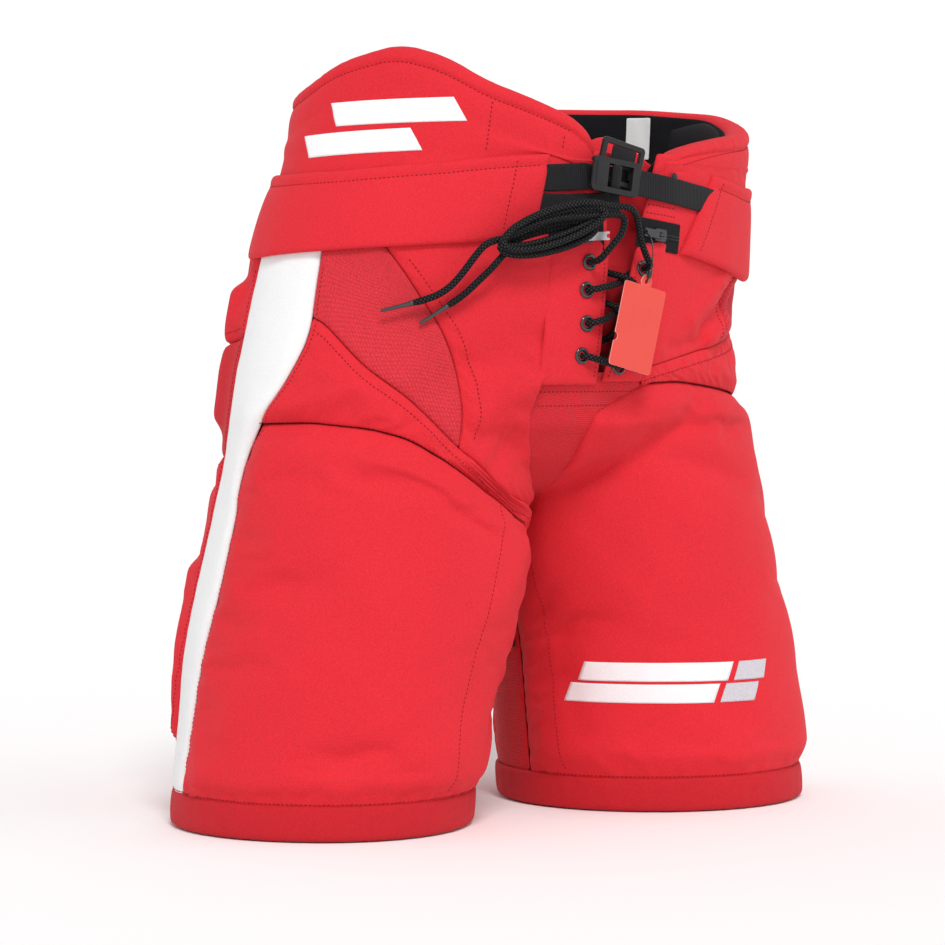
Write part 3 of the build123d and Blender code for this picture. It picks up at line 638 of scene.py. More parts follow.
# Front gusset between the legs ----------------------------------------------------------------------
def make_gusset():
    rows, columns = 30, 24
    u, z = np.meshgrid(np.linspace(-1, 1, columns), np.linspace(CROTCH_Z + 1.0, GUSSET_TOP, rows))
    edge_right = seam(z, FRONT_EDGE["right"], FRONT_SMOOTH) - 4.0
    edge_left = seam(z, FRONT_EDGE["left"], FRONT_SMOOTH) + 4.0
    x = np.where(u < 0, -u * edge_right, u * edge_left)

    def points(out):
        right = skin(-1, front_angle(-1, x, z), z, out)
        left = skin(1, front_angle(1, x, z), z, out)
        return np.where(u[..., None] < 0, right, left)

    depth = -1.8 - 3.0 * np.abs(u) ** 3
    piece = closed_sheet("groin_gusset_cloth", points(depth), points(depth - 2.2), M["rib"])
    keep(piece, "groin_gusset")


make_gusset()


BACKING_EDGE = {"right": [(320, -9), (411, 1)], "left": [(320, 7), (403, 34)]}  # x of its edge behind the fly


def make_backing():
    """The foam-backed lining under the seams of the hips, so no seam opens on to the inside. Its face towards the
    cloth is a darker red, painted seam shadow where the seams part; its face towards the body is black lining.
    """
    for word, side in SIDES.items():
        z = np.linspace(203, 402, 34)[:, None]
        edge = np.clip((z - 312) / 10, 0, 1) * seam(z, BACKING_EDGE[word])
        first = back_angle(side, z) - 4.0
        last = 360.0 + front_angle(side, edge, z)
        a = first + (last - first) * np.linspace(0, 1, 96)[None, :]
        z = z + 0.0 * a
        piece = closed_sheet(f"hip_backing_{word}", skin(side, a, z, -7.0), skin(side, a, z, -8.6), M["hem"])
        piece.data.materials.append(M["lining"])
        # Darker red outwards, as painted seam shadow seen through the seams; black lining inwards.
        middle_x = centre_x(side, 300.0) * MM
        for face in piece.data.polygons:
            outwards = face.normal.x * (face.center.x - middle_x) + face.normal.y * (face.center.y - BODY_Y * MM)
            face.material_index = 0 if outwards > 0 else 1
        keep(piece)


def make_crotch():
    """The strip that joins the two legs under the body, from the front gusset up into the seat's seam."""
    rows, columns = 40, 13
    x, y = np.meshgrid(np.linspace(-17, 17, columns), np.linspace(-44, 112, rows))
    z = seam(y, [(-44, 232), (20, 232), (47, 234), (75, 247), (103, 267), (112, 285)], 2.0) + 0.012 * x**2
    piece = closed_sheet("crotch_strip", np.stack([x, y, z], -1), np.stack([x, y - 1.2, z + 2.2], -1), M["rib"])
    keep(piece)


make_backing()
make_crotch()


# Collars -------------------------------------------------------------------------------------------
COLLAR_RIM = {  # ring angle, height of the rim
    "right": [(-270, 533), (-240, 530), (-215, 530), (-198, 532), (-184, 538), (-170, 552), (-150, 563), (-136, 553),
              (-126, 537), (-115, 526), (-105, 514), (-98, 505), (-94, 500)],
    "left": [(-80, 487), (-74, 489), (-64, 497), (-50, 503), (-38, 506), (-20, 515), (0, 526), (30, 532), (90, 533)],
}
COLLAR_ENDS = {"right": (-270.0, -97.4), "left": (-77.6, 90.0)}
COLLAR_SECTION = [  # depth into the body, height under the rim; the roll's seam is the groove in its middle
    (-0.5, 34.0), (-1.6, 26.0), (-1.8, 19.0), (-1.3, 15.0), (-0.6, 12.8), (0.3, 11.6), (-0.6, 10.4), (-1.6, 8.0),
    (-1.3, 5.2), (-0.1, 2.8), (2.2, 0.9), (5.6, 0.0), (9.6, 0.0), (13.2, 0.5), (16.2, 1.9), (17.8, 4.4), (18.1, 8.0),
]


COLLAR_GROOVE = 11.5  # height of the roll's seam under the rim
LINING_DEPTH = 18.0


def make_collar(word):
    start, end = COLLAR_ENDS[word]
    columns = 150
    a = np.linspace(start, end, columns)
    rim = seam(a, COLLAR_RIM[word], RIM_SMOOTH)
    arc = np.radians(a - (end if word == "right" else start)) * 150.0
    to_end = np.abs(arc)
    corner = 22.0
    near = np.clip(1.0 - to_end / corner, 0, 1)
    rim = rim - (1.0 - np.sqrt(np.maximum(1.0 - near**2, 0.0))) * 16.0
    thin = 1.0 - 0.45 * np.clip(1.0 - to_end / 14.0, 0, 1)
    pucker = 0.35 * np.sin(arc * 0.55) * np.sin(arc * 0.13 + 1.0) + 0.2 * np.sin(arc * 0.9 + 2.0)
    outer, inner = [], []
    for below, out in ((38.0, -0.6), (26.0, -0.4), (14.0, 0.4), (6.0, 0.6)):
        outer.append(ring(a, WAIST_Z - below + 0.0 * rim, out))
        inner.append(ring(a, WAIST_Z - below + 0.0 * rim, -3.2))
    for share in np.linspace(0.0, 0.8, 6):
        z = WAIST_Z + (rim - 34.0 - WAIST_Z) * share
        z = np.maximum(z, WAIST_Z - 4.0)
        outer.append(ring(a, z, 0.5 + 1.4 * math.sin(share * 2.6)))
        inner.append(ring(a, z, -3.0))
    for depth, down in COLLAR_SECTION:
        drop = np.minimum(down, np.maximum(rim - WAIST_Z + 2.0, 3.0) * down / 34.0 + down * 0.3)
        wave = pucker * (0.4 if down > 13 else 1.0)
        outer.append(ring(a, rim - drop, -depth * thin + wave))
        inner.append(ring(a, rim - np.maximum(drop, 2.6), -np.clip(depth * thin, 3.0, 15.2)))
    piece = closed_sheet(f"collar_cover_{word}", np.array(outer), np.array(inner), M["shell"], rounded=False)
    groove_row = len(outer) - len(COLLAR_SECTION) + 5
    settle(piece, hold_seams(len(outer), columns, 2.0, (groove_row,)), 2.2)
    subdivide(piece)
    keep(piece, f"collar_{word}", f"kidney_pad_{word}")

    rows = 12
    z = np.linspace(0, 1, rows)[:, None]
    heights = (WAIST_Z - 14.0) * (1 - z) + (rim - 4.0)[None, :] * z
    swell = 2.2 * np.sin(np.clip(z, 0, 1) * math.pi) * np.ones((1, columns))
    fluff = 0.5 * np.sin(a * 0.31)[None, :] * np.sin(z * 9)
    face = ring(a[None, :], heights, -LINING_DEPTH - 1.2 - swell - fluff)
    back = ring(a[None, :], heights, -LINING_DEPTH + 0.8)
    lining = closed_sheet(f"collar_lining_{word}", face, back, M["lining"])
    return keep(lining)


collar_linings = [make_collar(word) for word in SIDES]
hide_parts("collar_lining")


# Folded top of the left kidney pad, the waist lining and the leg linings --------------------------
def make_flap():
    a = np.linspace(-66, -24, 30)[None, :]
    v = np.linspace(0, 1, 22)[:, None]
    across = np.sin((a + 66) / 42 * math.pi) ** 0.35
    height = 462.0 + (44.0 + 8.0 * np.sin((a + 66) / 42 * math.pi)) * v
    full = across * np.sqrt(np.maximum(1.0 - (2 * v - 1) ** 4, 0.0))
    fold = 1.6 * np.exp(-(((v - 0.42) / 0.1) ** 2)) * np.ones(a.shape)
    outer = ring(a, height, -24.5 + 5.6 * full - fold)
    inner = ring(a, height, -25.0 - 6.2 * full)
    piece = closed_sheet("kidney_flap", inner, outer, M["lining"])
    keep(piece, "kidney_flap_left")


def make_linings():
    a = np.linspace(-52, 232, 130)[None, :]
    v = np.linspace(0, 1, 30)[:, None]
    low = 262.0 + 95.0 * np.abs(np.cos(np.radians(a)))
    z = low * (1 - v) + 486.0 * v
    wave = 0.8 * np.sin(np.radians(a) * 9) * np.sin(v * 7) + 0.5 * np.sin(np.radians(a) * 23 + 3 * v)
    piece = closed_sheet("waist_lining_cloth", ring(a, z, -LINING_DEPTH - 0.8 + wave),
                         ring(a, z, -LINING_DEPTH + 1.2 + wave), M["lining"])
    keep(piece, "waist_lining", "hip_pad_right", "hip_pad_left", "tailbone_pad")
    for word, side in SIDES.items():
        a = np.linspace(-180, 180, 97)[:-1][None, :]
        v = np.linspace(0, 1, 34)[:, None]
        z = 16.0 + 208.0 * v + 0.0 * a
        wave = 0.7 * np.sin(np.radians(a) * 7) * np.sin(v * 9) + 0.4 * np.sin(np.radians(a) * 19 + 5 * v)
        piece = closed_sheet(f"leg_lining_cloth_{word}", skin(side, a, z, -LINING_DEPTH + wave),
                             skin(side, a, z, -LINING_DEPTH + 2.0 + wave), M["lining"], wrap=True)
        keep(piece, f"leg_lining_{word}")


make_flap()
make_linings()


# Belt tunnels ---------------------------------------------------------------------------------------
TUNNEL_TOP = {
    "right": [(-270, 478), (-225, 474), (-186, 471), (-160, 472), (-132, 478), (-122, 482), (-106, 485)],
    "left": [(-72, 476), (-60, 473), (-50, 469), (-40, 465), (-20, 468), (0, 472), (45, 476), (90, 478)],
}
TUNNEL_LOW = {
    "right": [(-270, 411), (-225, 409), (-188, 410), (-160, 414), (-140, 417), (-121, 420), (-106, 429)],
    "left": [(-72, 415), (-54, 404), (-36, 394), (-10, 398), (20, 405), (60, 410), (90, 411)],
}
TUNNEL_FRONT = {"right": ((-108.4, -108.4), -270.0), "left": ((-70.4, -60.6), 90.0)}  # at the low edge, at the top
TUNNEL_PROFILE = [  # share of the height from the top edge, how far proud
    (0.0, 2.2), (0.012, 4.4), (0.035, 5.7), (0.07, 6.0), (0.12, 5.6), (0.145, 4.9), (0.17, 5.6), (0.24, 6.3),
    (0.36, 6.9), (0.5, 7.2), (0.64, 7.4), (0.78, 7.5), (0.9, 7.4), (0.955, 7.0), (0.985, 5.8), (1.0, 4.0),
]
TUNNEL_GROOVE = 0.145  # share of the height where its seam lies


def tunnel_place(word, down):
    """Angle of the tunnel's front edge at a share of its height."""
    (low_a, top_a), _ = TUNNEL_FRONT[word]
    return top_a * (1 - down) + low_a * down


def tunnel_height(word, a, down):
    return seam(a, TUNNEL_TOP[word], 4) * (1 - down) + seam(a, TUNNEL_LOW[word], 4) * down


def make_tunnel(word):
    u = np.linspace(0, 1, 130)[None, :]
    down, proud = (np.array(column)[:, None] for column in zip(*TUNNEL_PROFILE))
    first = tunnel_place(word, down)
    a = first * (1 - u) + TUNNEL_FRONT[word][1] * u
    z = tunnel_height(word, a, down)
    arc = np.abs(a - first) * 3.3
    flat = np.clip(arc / 10.0, 0, 1) ** 0.5
    wave = 0.5 * np.sin(a * 0.16 + 1.0) * np.sin(down * 4.0) + 0.35 * np.sin(a * 0.45) * down
    outer = ring(a, z, proud * (0.72 + 0.28 * flat) + wave)
    inner = ring(a, np.clip(z, z[-1:, :] + 1.5, z[:1, :] - 1.5), 1.0 + 0.0 * a)
    piece = closed_sheet(f"belt_tunnel_cover_{word}", outer, inner, M["shell"])
    keep(piece, f"belt_tunnel_{word}")


for word in SIDES:
    make_tunnel(word)


# Fly: plackets, tongue and eyelets -----------------------------------------------------------------
def line(points):
    return lambda z: np.interp(z, *zip(*points))


def make_placket(word, low_x, high_x, low_z, high_z, rows, wave):
    """One side of the fly: its edges' x by height, its heights, and its creases."""
    u, v = unit_grid(rows, 22)
    z = low_z + (high_z - low_z) * v
    x = low_x(z) * (1 - u) + high_x(z) * u
    lift = pillow(front(x, z, PLACKET_OUT), 0.5, 0.8, 6.0) + wave(x, z)
    piece = closed_sheet(f"placket_cover_{word}", front(x, z, PLACKET_OUT + lift),
                         front(x, z, PLACKET_OUT - 1.8 + np.minimum(lift, 0)), M["shell"])
    keep(piece, f"fly_placket_{word}")


EYELET_RIGHT = [(-11.0, 407.0), (-14.0, 387.0), (-14.0, 363.0), (-18.0, 340.0)]
EYELET_LEFT = [(38.0, 403.0), (31.0, 381.0), (23.0, 357.0), (15.0, 332.0)]
PLACKET, PLACKET_OUT = 2.8, 2.0  # how far its face and its seams stand proud
FLY_EDGE_RIGHT = ((-3.0, 320.0), (7.0, 411.0))
FLY_EDGE_LEFT = ((1.0, 320.0), (28.0, 403.0))


def make_fly():
    creased = lambda x, z: 1.4 * np.exp(-(((z - 352 + 0.5 * (x + 40)) / 7) ** 2)) * np.clip((-25 - x) / 20, 0, 1)
    make_placket("right", line([(320, -52), (413, -43)]), line([(320, -3), (411, 7), (430, 9)]),
                 319, 430, 44, creased)
    make_placket("left", line([(320, 1), (403, 28), (424, 35)]), line([(320, 38), (413, 62), (424, 66)]),
                 321, 424, 42, lambda x, z: 0.0)
    crown = lambda x, z: -4.0 * np.clip((z - 480) / 18, 0, 1) ** 2
    u, v = unit_grid(60, 30)
    x = -24.0 + 90.0 * u
    z = 318.0 + (162.0 + 19.0 * np.sin(np.clip(u * 1.15 - 0.12, 0, 1) * math.pi)) * v
    wave = 0.8 * np.sin(x * 0.09) + 0.6 * np.sin(z * 0.045 + x * 0.05)
    piece = closed_sheet("tongue_cover", front(x, z, -17.8 + wave + crown(x, z)),
                         front(x, z, -21.0 + wave + crown(x, z)), M["shell"])
    keep(piece, "fly_tongue")


make_fly()


def revolve(name, centre, axis, profile, material, segments=28):
    """A ring or button turned about an axis; profile is radius and height along the axis."""
    axis = Vector(axis).normalized()
    side = axis.orthogonal().normalized()
    other = axis.cross(side)
    points, rows = [], len(profile)
    for radius, height in profile:
        for i in range(segments):
            t = 2 * math.pi * i / segments
            points.append(Vector(centre) + axis * height + (side * math.cos(t) + other * math.sin(t)) * radius)
    faces = grid_faces(rows, segments, 0, True)
    if profile[0] != profile[-1]:
        faces.append(tuple(range(segments))[::-1])
        faces.append(tuple((rows - 1) * segments + i for i in range(segments)))
    return finish_mesh(name, [tuple(p) for p in points], faces, None, material)


def join(name, pieces):
    """One piece out of several meshes."""
    work = bmesh.new()
    for piece in pieces:
        work.from_mesh(piece.data)
    mesh = bpy.data.meshes.new(name)
    work.to_mesh(mesh)
    work.free()
    mesh.materials.append(pieces[0].data.materials[0])
    for piece in pieces:
        bpy.data.objects.remove(piece)
    joined = bpy.data.objects.new(name, mesh)
    bpy.context.scene.collection.objects.link(joined)
    return joined


M["eyelet"] = painted("eyelet_paint", (0.010, 0.010, 0.012), 0.16, coat=0.6, bump=0.05)
M["buckle"] = painted("buckle_plastic", (0.007, 0.007, 0.008), 0.36, grain=1500.0, bump=0.4, shine=0.3)
M["zip_metal"] = painted("zip_metal", (0.05, 0.05, 0.055), 0.30, metallic=0.8)
M["silver"] = painted("pull_silver", (0.42, 0.42, 0.44), 0.28, metallic=0.9)
M["aglet"] = painted("aglet_plastic", (0.02, 0.02, 0.022), 0.18, coat=0.5)
M["string"] = painted("string_plastic", (0.01, 0.01, 0.01), 0.25)
M["card"] = painted("tag_card", (0.66, 0.050, 0.034), 0.45, grain=500.0, bump=0.1, wear=(0.74, 0.066, 0.044))
# Pale pink on the tag card's edge faces: a painted highlight along its edges.
M["card_edge_highlight"] = painted("tag_card_edge", (0.93, 0.42, 0.36), 0.6)
M["label"] = cloth("label_satin", (0.74, 0.74, 0.73), (0.90, 0.90, 0.89), pitch=0.35, roughness=0.45)
M["webbing"] = cloth("belt_webbing", (0.001, 0.001, 0.001), (0.016, 0.016, 0.018), pitch=1.0, ribs=1.7, bump=1.0,
                     roughness=0.6, across=True, shine=0.12)
# The lace's light grey is a painted highlight on its raised strands; the braid itself is black.
M["lace"] = cloth("lace_braid", (0.0005, 0.0005, 0.0005), (0.055, 0.055, 0.06), pitch=2.2, bump=1.0, roughness=0.6,
                  mesh=True, shine=0.1, painted_highlight=True)
M["tape"] = cloth("zip_tape", (0.002, 0.002, 0.002), (0.012, 0.012, 0.014), pitch=0.8, ribs=1.2, roughness=0.7,
                  shine=0.1)
M["guard"] = painted("guard_plastic", (0.72, 0.72, 0.73), 0.4)
M["print"] = cloth("mark_print", (0.80, 0.80, 0.81), (0.93, 0.93, 0.93), pitch=0.55, bump=0.2, roughness=0.55)
M["satin"] = cloth("mark_satin", (0.80, 0.79, 0.82), (0.98, 0.98, 0.99), pitch=0.4, ribs=0.8, bump=0.7, roughness=0.4)
M["silver_thread"] = cloth("mark_silver", (0.34, 0.31, 0.36), (0.78, 0.75, 0.80), pitch=0.4, ribs=0.7, bump=0.8,
                           roughness=0.35)

EYELET_PROFILE = [(3.3, -1.2), (3.2, 0.2), (3.5, 0.95), (4.4, 1.35), (5.3, 1.2), (6.0, 0.6), (6.2, 0.0), (6.0, -0.3),
                  (4.2, -0.4), (3.9, -1.2), (3.3, -1.2)]


HOLE_PROFILE = [(0.3, 0.0), (3.35, 0.0), (3.35, -0.8), (0.3, -0.8), (0.3, 0.0)]


def make_eyelets():
    """The eyelets' rings, and a black disc in each: painted shade for its hole."""
    for name, out, profile, material, nodes in (
            ("eyelet_rings", PLACKET + 0.2, EYELET_PROFILE, M["eyelet"], ["fly_eyelets"]),
            # Black discs: painted shade in the holes.
            ("eyelet_holes", -0.6, HOLE_PROFILE, M["lining"], [])):
        made = [revolve("part", front(x, z, out), (0, -1, 0), profile, material)
                for x, z in EYELET_RIGHT + EYELET_LEFT]
        keep(join(name, made), *nodes)


make_eyelets()


# Cords -----------------------------------------------------------------------------------------------
def smooth_route(points, resolution=14):
    """Points along the NURBS spline that has the route as its control points."""
    curve = bpy.data.curves.new("route", "CURVE")
    curve.dimensions = "3D"
    spline = curve.splines.new("NURBS")
    spline.points.add(len(points) - 1)
    for target, p in zip(spline.points, points):
        target.co = (p[0] * MM, p[1] * MM, p[2] * MM, 1.0)
    spline.order_u = 3
    spline.use_endpoint_u = True
    spline.resolution_u = resolution
    holder = bpy.data.objects.new("route", curve)
    bpy.context.scene.collection.objects.link(holder)
    mesh = bpy.data.meshes.new_from_object(holder)
    result = np.array([v.co for v in mesh.vertices], float)
    bpy.data.objects.remove(holder)
    return result / MM


def distances(path):
    return np.concatenate([[0.0], np.cumsum(np.linalg.norm(np.diff(path, axis=0), axis=1))])


def even_steps(path, step):
    along = distances(path)
    places = np.linspace(0, along[-1], max(8, int(along[-1] / step)))
    return np.stack([np.interp(places, along, path[:, i]) for i in range(3)], axis=-1), places


def braid_tube(name, path, radius, material, step=0.8, sides=16, strands=4, pitch=9.0, depth=0.16, end=0.0):
    """A braided cord along a path: strands cross both ways and stand out where they pass over."""
    points, along = even_steps(path, step)
    tangent = np.gradient(points, axis=0)
    tangent /= np.linalg.norm(tangent, axis=1)[:, None]
    side = Vector(tangent[0]).orthogonal().normalized()
    rows = []
    uvs = []
    t = 2 * math.pi * np.arange(sides) / sides
    total = along[-1]
    for i, (place, direction) in enumerate(zip(points, tangent)):
        direction = Vector(direction)
        side = (side - direction * side.dot(direction)).normalized()
        other = direction.cross(side)
        turn = 2 * math.pi * along[i] / pitch
        over = np.sin(strands * t + turn * 2) * np.sin(strands * t - turn * 2)
        close = min(along[i], total - along[i])
        taper = 1.0 - end * max(0.0, 1.0 - close / 6.0)
        r = radius * taper * (1.0 - depth * 0.5 + depth * over)
        ring_points = [place + np.array(side * math.cos(b) + other * math.sin(b)) * q for b, q in zip(t, r)]
        rows.append(ring_points)
        uvs += [(b * radius / UV_SIZE, along[i] / UV_SIZE) for b in t]
    grid = np.array(rows)
    faces = grid_faces(len(rows), sides, 0, True)
    faces.append(tuple(range(sides))[::-1])
    faces.append(tuple((len(rows) - 1) * sides + i for i in range(sides)))
    piece = finish_mesh(name, grid.reshape(-1, 3), faces, uvs, M[material], rounded=False)
    return piece, points


LACE_R = 2.5
CROSS_SHIFT = 3.4


def edge_x(edge, z):
    (x0, z0), (x1, z1) = edge
    return x0 + (x1 - x0) * (z - z0) / (z1 - z0)


def crossing(start, end, over, under, shift):
    (xa, za), (xb, zb) = start, end
    z_over = za + (zb - za) * 0.42 + shift
    z_under = za + (zb - za) * 0.62 + shift
    return [front(edge_x(over, z_over), z_over, 6.8), front(edge_x(under, z_under), z_under, -6.8),
            front(xb, zb, -8.5)]


def held_route():
    right, left = EYELET_RIGHT, EYELET_LEFT
    route = [front(*right[0], 5.5)]
    route += crossing(left[1], right[0], FLY_EDGE_LEFT, FLY_EDGE_RIGHT, CROSS_SHIFT)[::-1]
    route += [front(*left[1], 8.5)]
    route += crossing(right[2], left[1], FLY_EDGE_RIGHT, FLY_EDGE_LEFT, -CROSS_SHIFT)[::-1]
    route += [front(*right[2], 8.5), front(*right[2], -8.5), front(2.0, 347.0, -14.0), front(*left[3], -8.5)]
    route += [front(*left[3], 9.5), front(0.0, 335.0, 8.0), front(*right[3], 9.5), front(*right[3], -8.5)]
    route += [front(*left[2], -8.5), front(*left[2], 8.5)]
    route += crossing(left[2], right[1], FLY_EDGE_LEFT, FLY_EDGE_RIGHT, CROSS_SHIFT)
    route += [front(*right[1], 8.5)]
    route += crossing(right[1], left[0], FLY_EDGE_RIGHT, FLY_EDGE_LEFT, -CROSS_SHIFT)
    return route + [front(*left[0], 5.5)]


HANK_CENTRE, HANK_TURN = np.array([-52.0, -135.5, 428.0]), math.radians(-13.0)


def hank(u, v, w):
    """A point of the hank: u along it to the wearer's left, v up, w out of its front."""
    across = np.array([math.cos(HANK_TURN), math.sin(HANK_TURN), 0.0])
    out = np.array([math.sin(HANK_TURN), -math.cos(HANK_TURN), 0.0])
    return HANK_CENTRE + across * u + np.array([0, 0, 1.0]) * v + out * w


def loops(centre, long, short, tilt, first, last, w0, w1, shrink):
    """The loose turns of one lace end: long loops that get slimmer towards the middle, about 14 points a turn."""
    count = int(round((last - first) / 26.0))
    t = math.radians(tilt)
    made = []
    for i in range(count + 1):
        share = i / count
        turn = math.radians(first + (last - first) * share)
        size = 1.0 - shrink * share
        u, v = long * size * math.cos(turn), short * (1.15 - 0.75 * share) * math.sin(turn)
        w = w0 + (w1 - w0) * share + 1.2 * math.sin(turn * 0.5)
        made.append(hank(centre[0] + u * math.cos(t) - v * math.sin(t),
                         centre[1] + u * math.sin(t) + v * math.cos(t), w))
    return made


LEAD_RIGHT = [(-11.0, -128.9, 407.0), (-10.9, -136.9, 407.2), (-5.0, -142.5, 417.0), (4.0, -146.2, 428.0),
              (4.5, -148.3, 440.0), (-8.0, -146.6, 441.0)]
LEAD_LEFT = [(38.0, -128.0, 403.0), (37.9, -136.0, 403.2), (31.0, -136.5, 413.5), (24.5, -138.5, 427.0),
             (18.0, -144.5, 440.0), (8.0, -150.0, 446.5), (-8.0, -146.6, 446.6)]
END_UPPER = [(-99.0, -124.0, 420.5), (-106.0, -119.5, 411.0), (-114.0, -114.8, 398.0), (-122.0, -109.5, 387.5),
             (-133.0, -103.4, 380.5), (-145.0, -95.5, 377.0)]
END_LOWER = [(-90.0, -126.0, 408.0), (-96.0, -122.0, 400.0), (-104.0, -117.5, 391.5), (-112.0, -112.0, 382.0),
             (-122.0, -105.6, 374.5)]
AGLET_L = 22.0


def make_lace():
    held, _ = braid_tube("lace_in_eyelets", smooth_route(held_route(), 20), LACE_R, "lace")
    keep(held, "fly_lace")
    routes = {
        "upper": (LEAD_LEFT, loops((1, 3), 44, 12, 17, 40, 870, 6.0, 0.5, 0.16), END_UPPER),
        "lower": (LEAD_RIGHT, loops((-2, -4), 40, 11, 12, 50, 850, 3.0, -5.0, 0.12), END_LOWER),
    }
    profile = [(0.4, AGLET_L), (1.15, AGLET_L - 0.4), (1.3, AGLET_L - 3.0), (1.45, 6.0), (1.9, 1.5), (2.1, -1.5),
               (1.9, -2.2)]
    for word, (lead, turns, end) in routes.items():
        path = smooth_route([*lead, *turns, *end])
        piece, line_points = braid_tube(f"lace_end_{word}", path, LACE_R, "lace", end=0.35)
        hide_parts(f"lace_tail_{word}")
        stop, before = np.array(end[-1]), np.array(end[-2])
        direction = (stop - before) / np.linalg.norm(stop - before)
        aglet = revolve(f"aglet_{word}", stop, direction, profile, M["aglet"], 16)
        keep(piece)
        keep(aglet)
    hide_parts("lace_hank")
    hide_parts("lace_aglets")


make_lace()


# Belt webbing and buckle ---------------------------------------------------------------------------
WEBBING_THICK = 1.7


def strap(name, x, z, half, proud, *nodes):
    """Flat webbing along the pelvis' front: x, the middle's height, half its width and how proud it stands."""
    across = np.array([-1.0, -0.86, -0.4, 0.0, 0.4, 0.86, 1.0])[:, None] * half
    lip = np.array([0.25, 0.0, 0.1, 0.15, 0.1, 0.0, 0.25])[:, None]
    x, z, proud = (np.asarray(v, float)[None, :] for v in (x, z, proud))
    outer = front(x + 0 * across, z + across, proud + WEBBING_THICK - lip)
    inner = front(x + 0 * across, z + across, proud + lip * 0.5)
    keep(closed_sheet(name, outer, inner, M["webbing"]), *nodes)


def make_webbing():
    x = np.linspace(-66, -13, 30)
    rise = np.clip((x + 40) / 27, 0, 1)
    strap("webbing_right", x, 467.0 + 1.5 * rise, 9.8, 3.0 + 2.8 * rise**2 + 0.4 * np.sin(x * 0.2),
          "belt_webbing_right")
    x = np.linspace(-66, 16, 40)
    strap("webbing_tail", x, 449.0 + 1.5 * np.sin(x * 0.05), 8.2, 2.6 + 0.4 * np.sin(x * 0.11))
    x = np.linspace(26, 124, 50)
    near = np.clip((44 - x) / 16, 0, 1)
    strap("webbing_left", x, 464.5 - 0.15 * (x - 36), 9.8, 3.0 + 2.2 * near**2 + 0.4 * np.sin(x * 0.12),
          "belt_webbing_left")
    x = np.linspace(-16, 44, 40)
    strap("webbing_core", x, 468.0 - 0.1 * x, 9.0, 2.0 + 0.3 * np.sin(x * 0.2))
    profile = [(0.2, 1.6), (1.6, 1.5), (2.8, 1.1), (3.3, 0.3), (3.2, -0.6), (0.2, -0.6)]
    keep(revolve("stud_cap", front(70.0, 470.0, 3.4), (0.25, -1, 0), profile, M["buckle"], 24), "belt_stud")


make_webbing()


MERGE, FLAT_ANGLE, SHARP_ANGLE = 1e-6, math.radians(2), math.radians(35)


def refined(cad, name, material, bevel, edge=None):
    """A copy of a hard CAD part with softened edges, which stands for it."""
    piece = frame["nodes"][cad].copy()
    piece.data = frame["nodes"][cad].data.copy()
    piece.name = name
    piece.parent = None
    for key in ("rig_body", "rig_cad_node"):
        if key in piece:
            del piece[key]
    bpy.context.scene.collection.objects.link(piece)
    work = bmesh.new()
    work.from_mesh(piece.data)
    bmesh.ops.remove_doubles(work, verts=work.verts, dist=MERGE)
    bmesh.ops.dissolve_limit(work, angle_limit=FLAT_ANGLE, verts=work.verts, edges=work.edges)
    work.to_mesh(piece.data)
    work.free()
    modifier = piece.modifiers.new("soften", "BEVEL")
    modifier.width = bevel * MM
    modifier.segments = 2
    modifier.limit_method = "ANGLE"
    modifier.angle_limit = SHARP_ANGLE
    apply_modifiers(piece)
    piece.data.materials.clear()
    piece.data.materials.append(M[material])
    if edge:
        piece.data.materials.append(M[edge])
    widest = max(piece.data.polygons, key=lambda face: face.area).normal.copy()
    for face in piece.data.polygons:
        face.use_smooth = False
        face.material_index = 1 if edge and abs(face.normal.dot(widest)) < 0.9 else 0
    keep(piece, cad)


for cad, name, material, bevel, edge in (
        ("buckle_hook_half", "hook_frame", "buckle", 0.7, None),
        ("buckle_loop_half", "loop_frame", "buckle", 0.7, None),
        ("zipper_slider_right", "slider_body_right", "zip_metal", 0.3, None),
        ("zipper_slider_left", "slider_body_left", "zip_metal", 0.3, None),
        ("zipper_pull_right", "pull_tab_right", "silver", 0.25, None),
        ("zipper_pull_left", "pull_tab_left", "zip_metal", 0.25, None),
        # The tag card's edge faces get the painted edge highlight.
        ("hang_tag", "tag_card_face", "card", 0.2, "card_edge_highlight")):
    refined(cad, name, material, bevel, edge)


def plate(name, centre, tilt, size, offset, material, arch=0.0, bevel=0.5):
    """A flat plate on a tilted buckle half; arch lifts its middle like webbing laid over a bar."""
    t = math.radians(tilt)
    along, up = np.array([math.cos(t), 0, -math.sin(t)]), np.array([math.sin(t), 0, math.cos(t)])
    out = np.array([0, -1.0, 0])
    u = np.linspace(-0.5, 0.5, 15)[None, :, None] * size[0]
    v = np.linspace(-0.5, 0.5, 11)[:, None, None] * size[1]
    base = np.array(centre, float) + along * (offset[0] + u) + up * (offset[1] + v) + out * offset[2]
    edge = np.minimum(size[0] / 2 - np.abs(u), size[1] / 2 - np.abs(v))
    soft = bevel * (1.0 - np.clip(edge / bevel, 0, 1)) ** 2
    hump = arch * np.cos(u / size[0] * math.pi)
    keep(closed_sheet(name, base + out * (size[2] / 2 - soft + hump), base - out * (size[2] / 2 - soft - hump),
                      M[material]))


HOOK_CENTRE, HOOK_TILT = (7.0, -132.3, 468.5), 8.0
LOOP_CENTRE, LOOP_TILT = (15.0, -127.8, 478.0), 14.0
plate("hook_face", HOOK_CENTRE, HOOK_TILT, (11.5, 21.0, 3.2), (-12.5, 0.0, 0.5), "buckle")
plate("hook_web", HOOK_CENTRE, HOOK_TILT, (8.5, 16.5, 1.6), (0.5, 0.0, 1.0), "webbing", 1.6)
plate("loop_web", LOOP_CENTRE, LOOP_TILT, (22.0, 15.0, 1.6), (1.0, 4.0, 0.6), "webbing", 1.4)

# Zippers --------------------------------------------------------------------------------------------
ZIPS = {"left": ((32.0, 430.0), (76.0, 424.5)), "right": ((2.0, 426.0), (-44.0, 424.0))}
ZIP_PROUD = 3.0


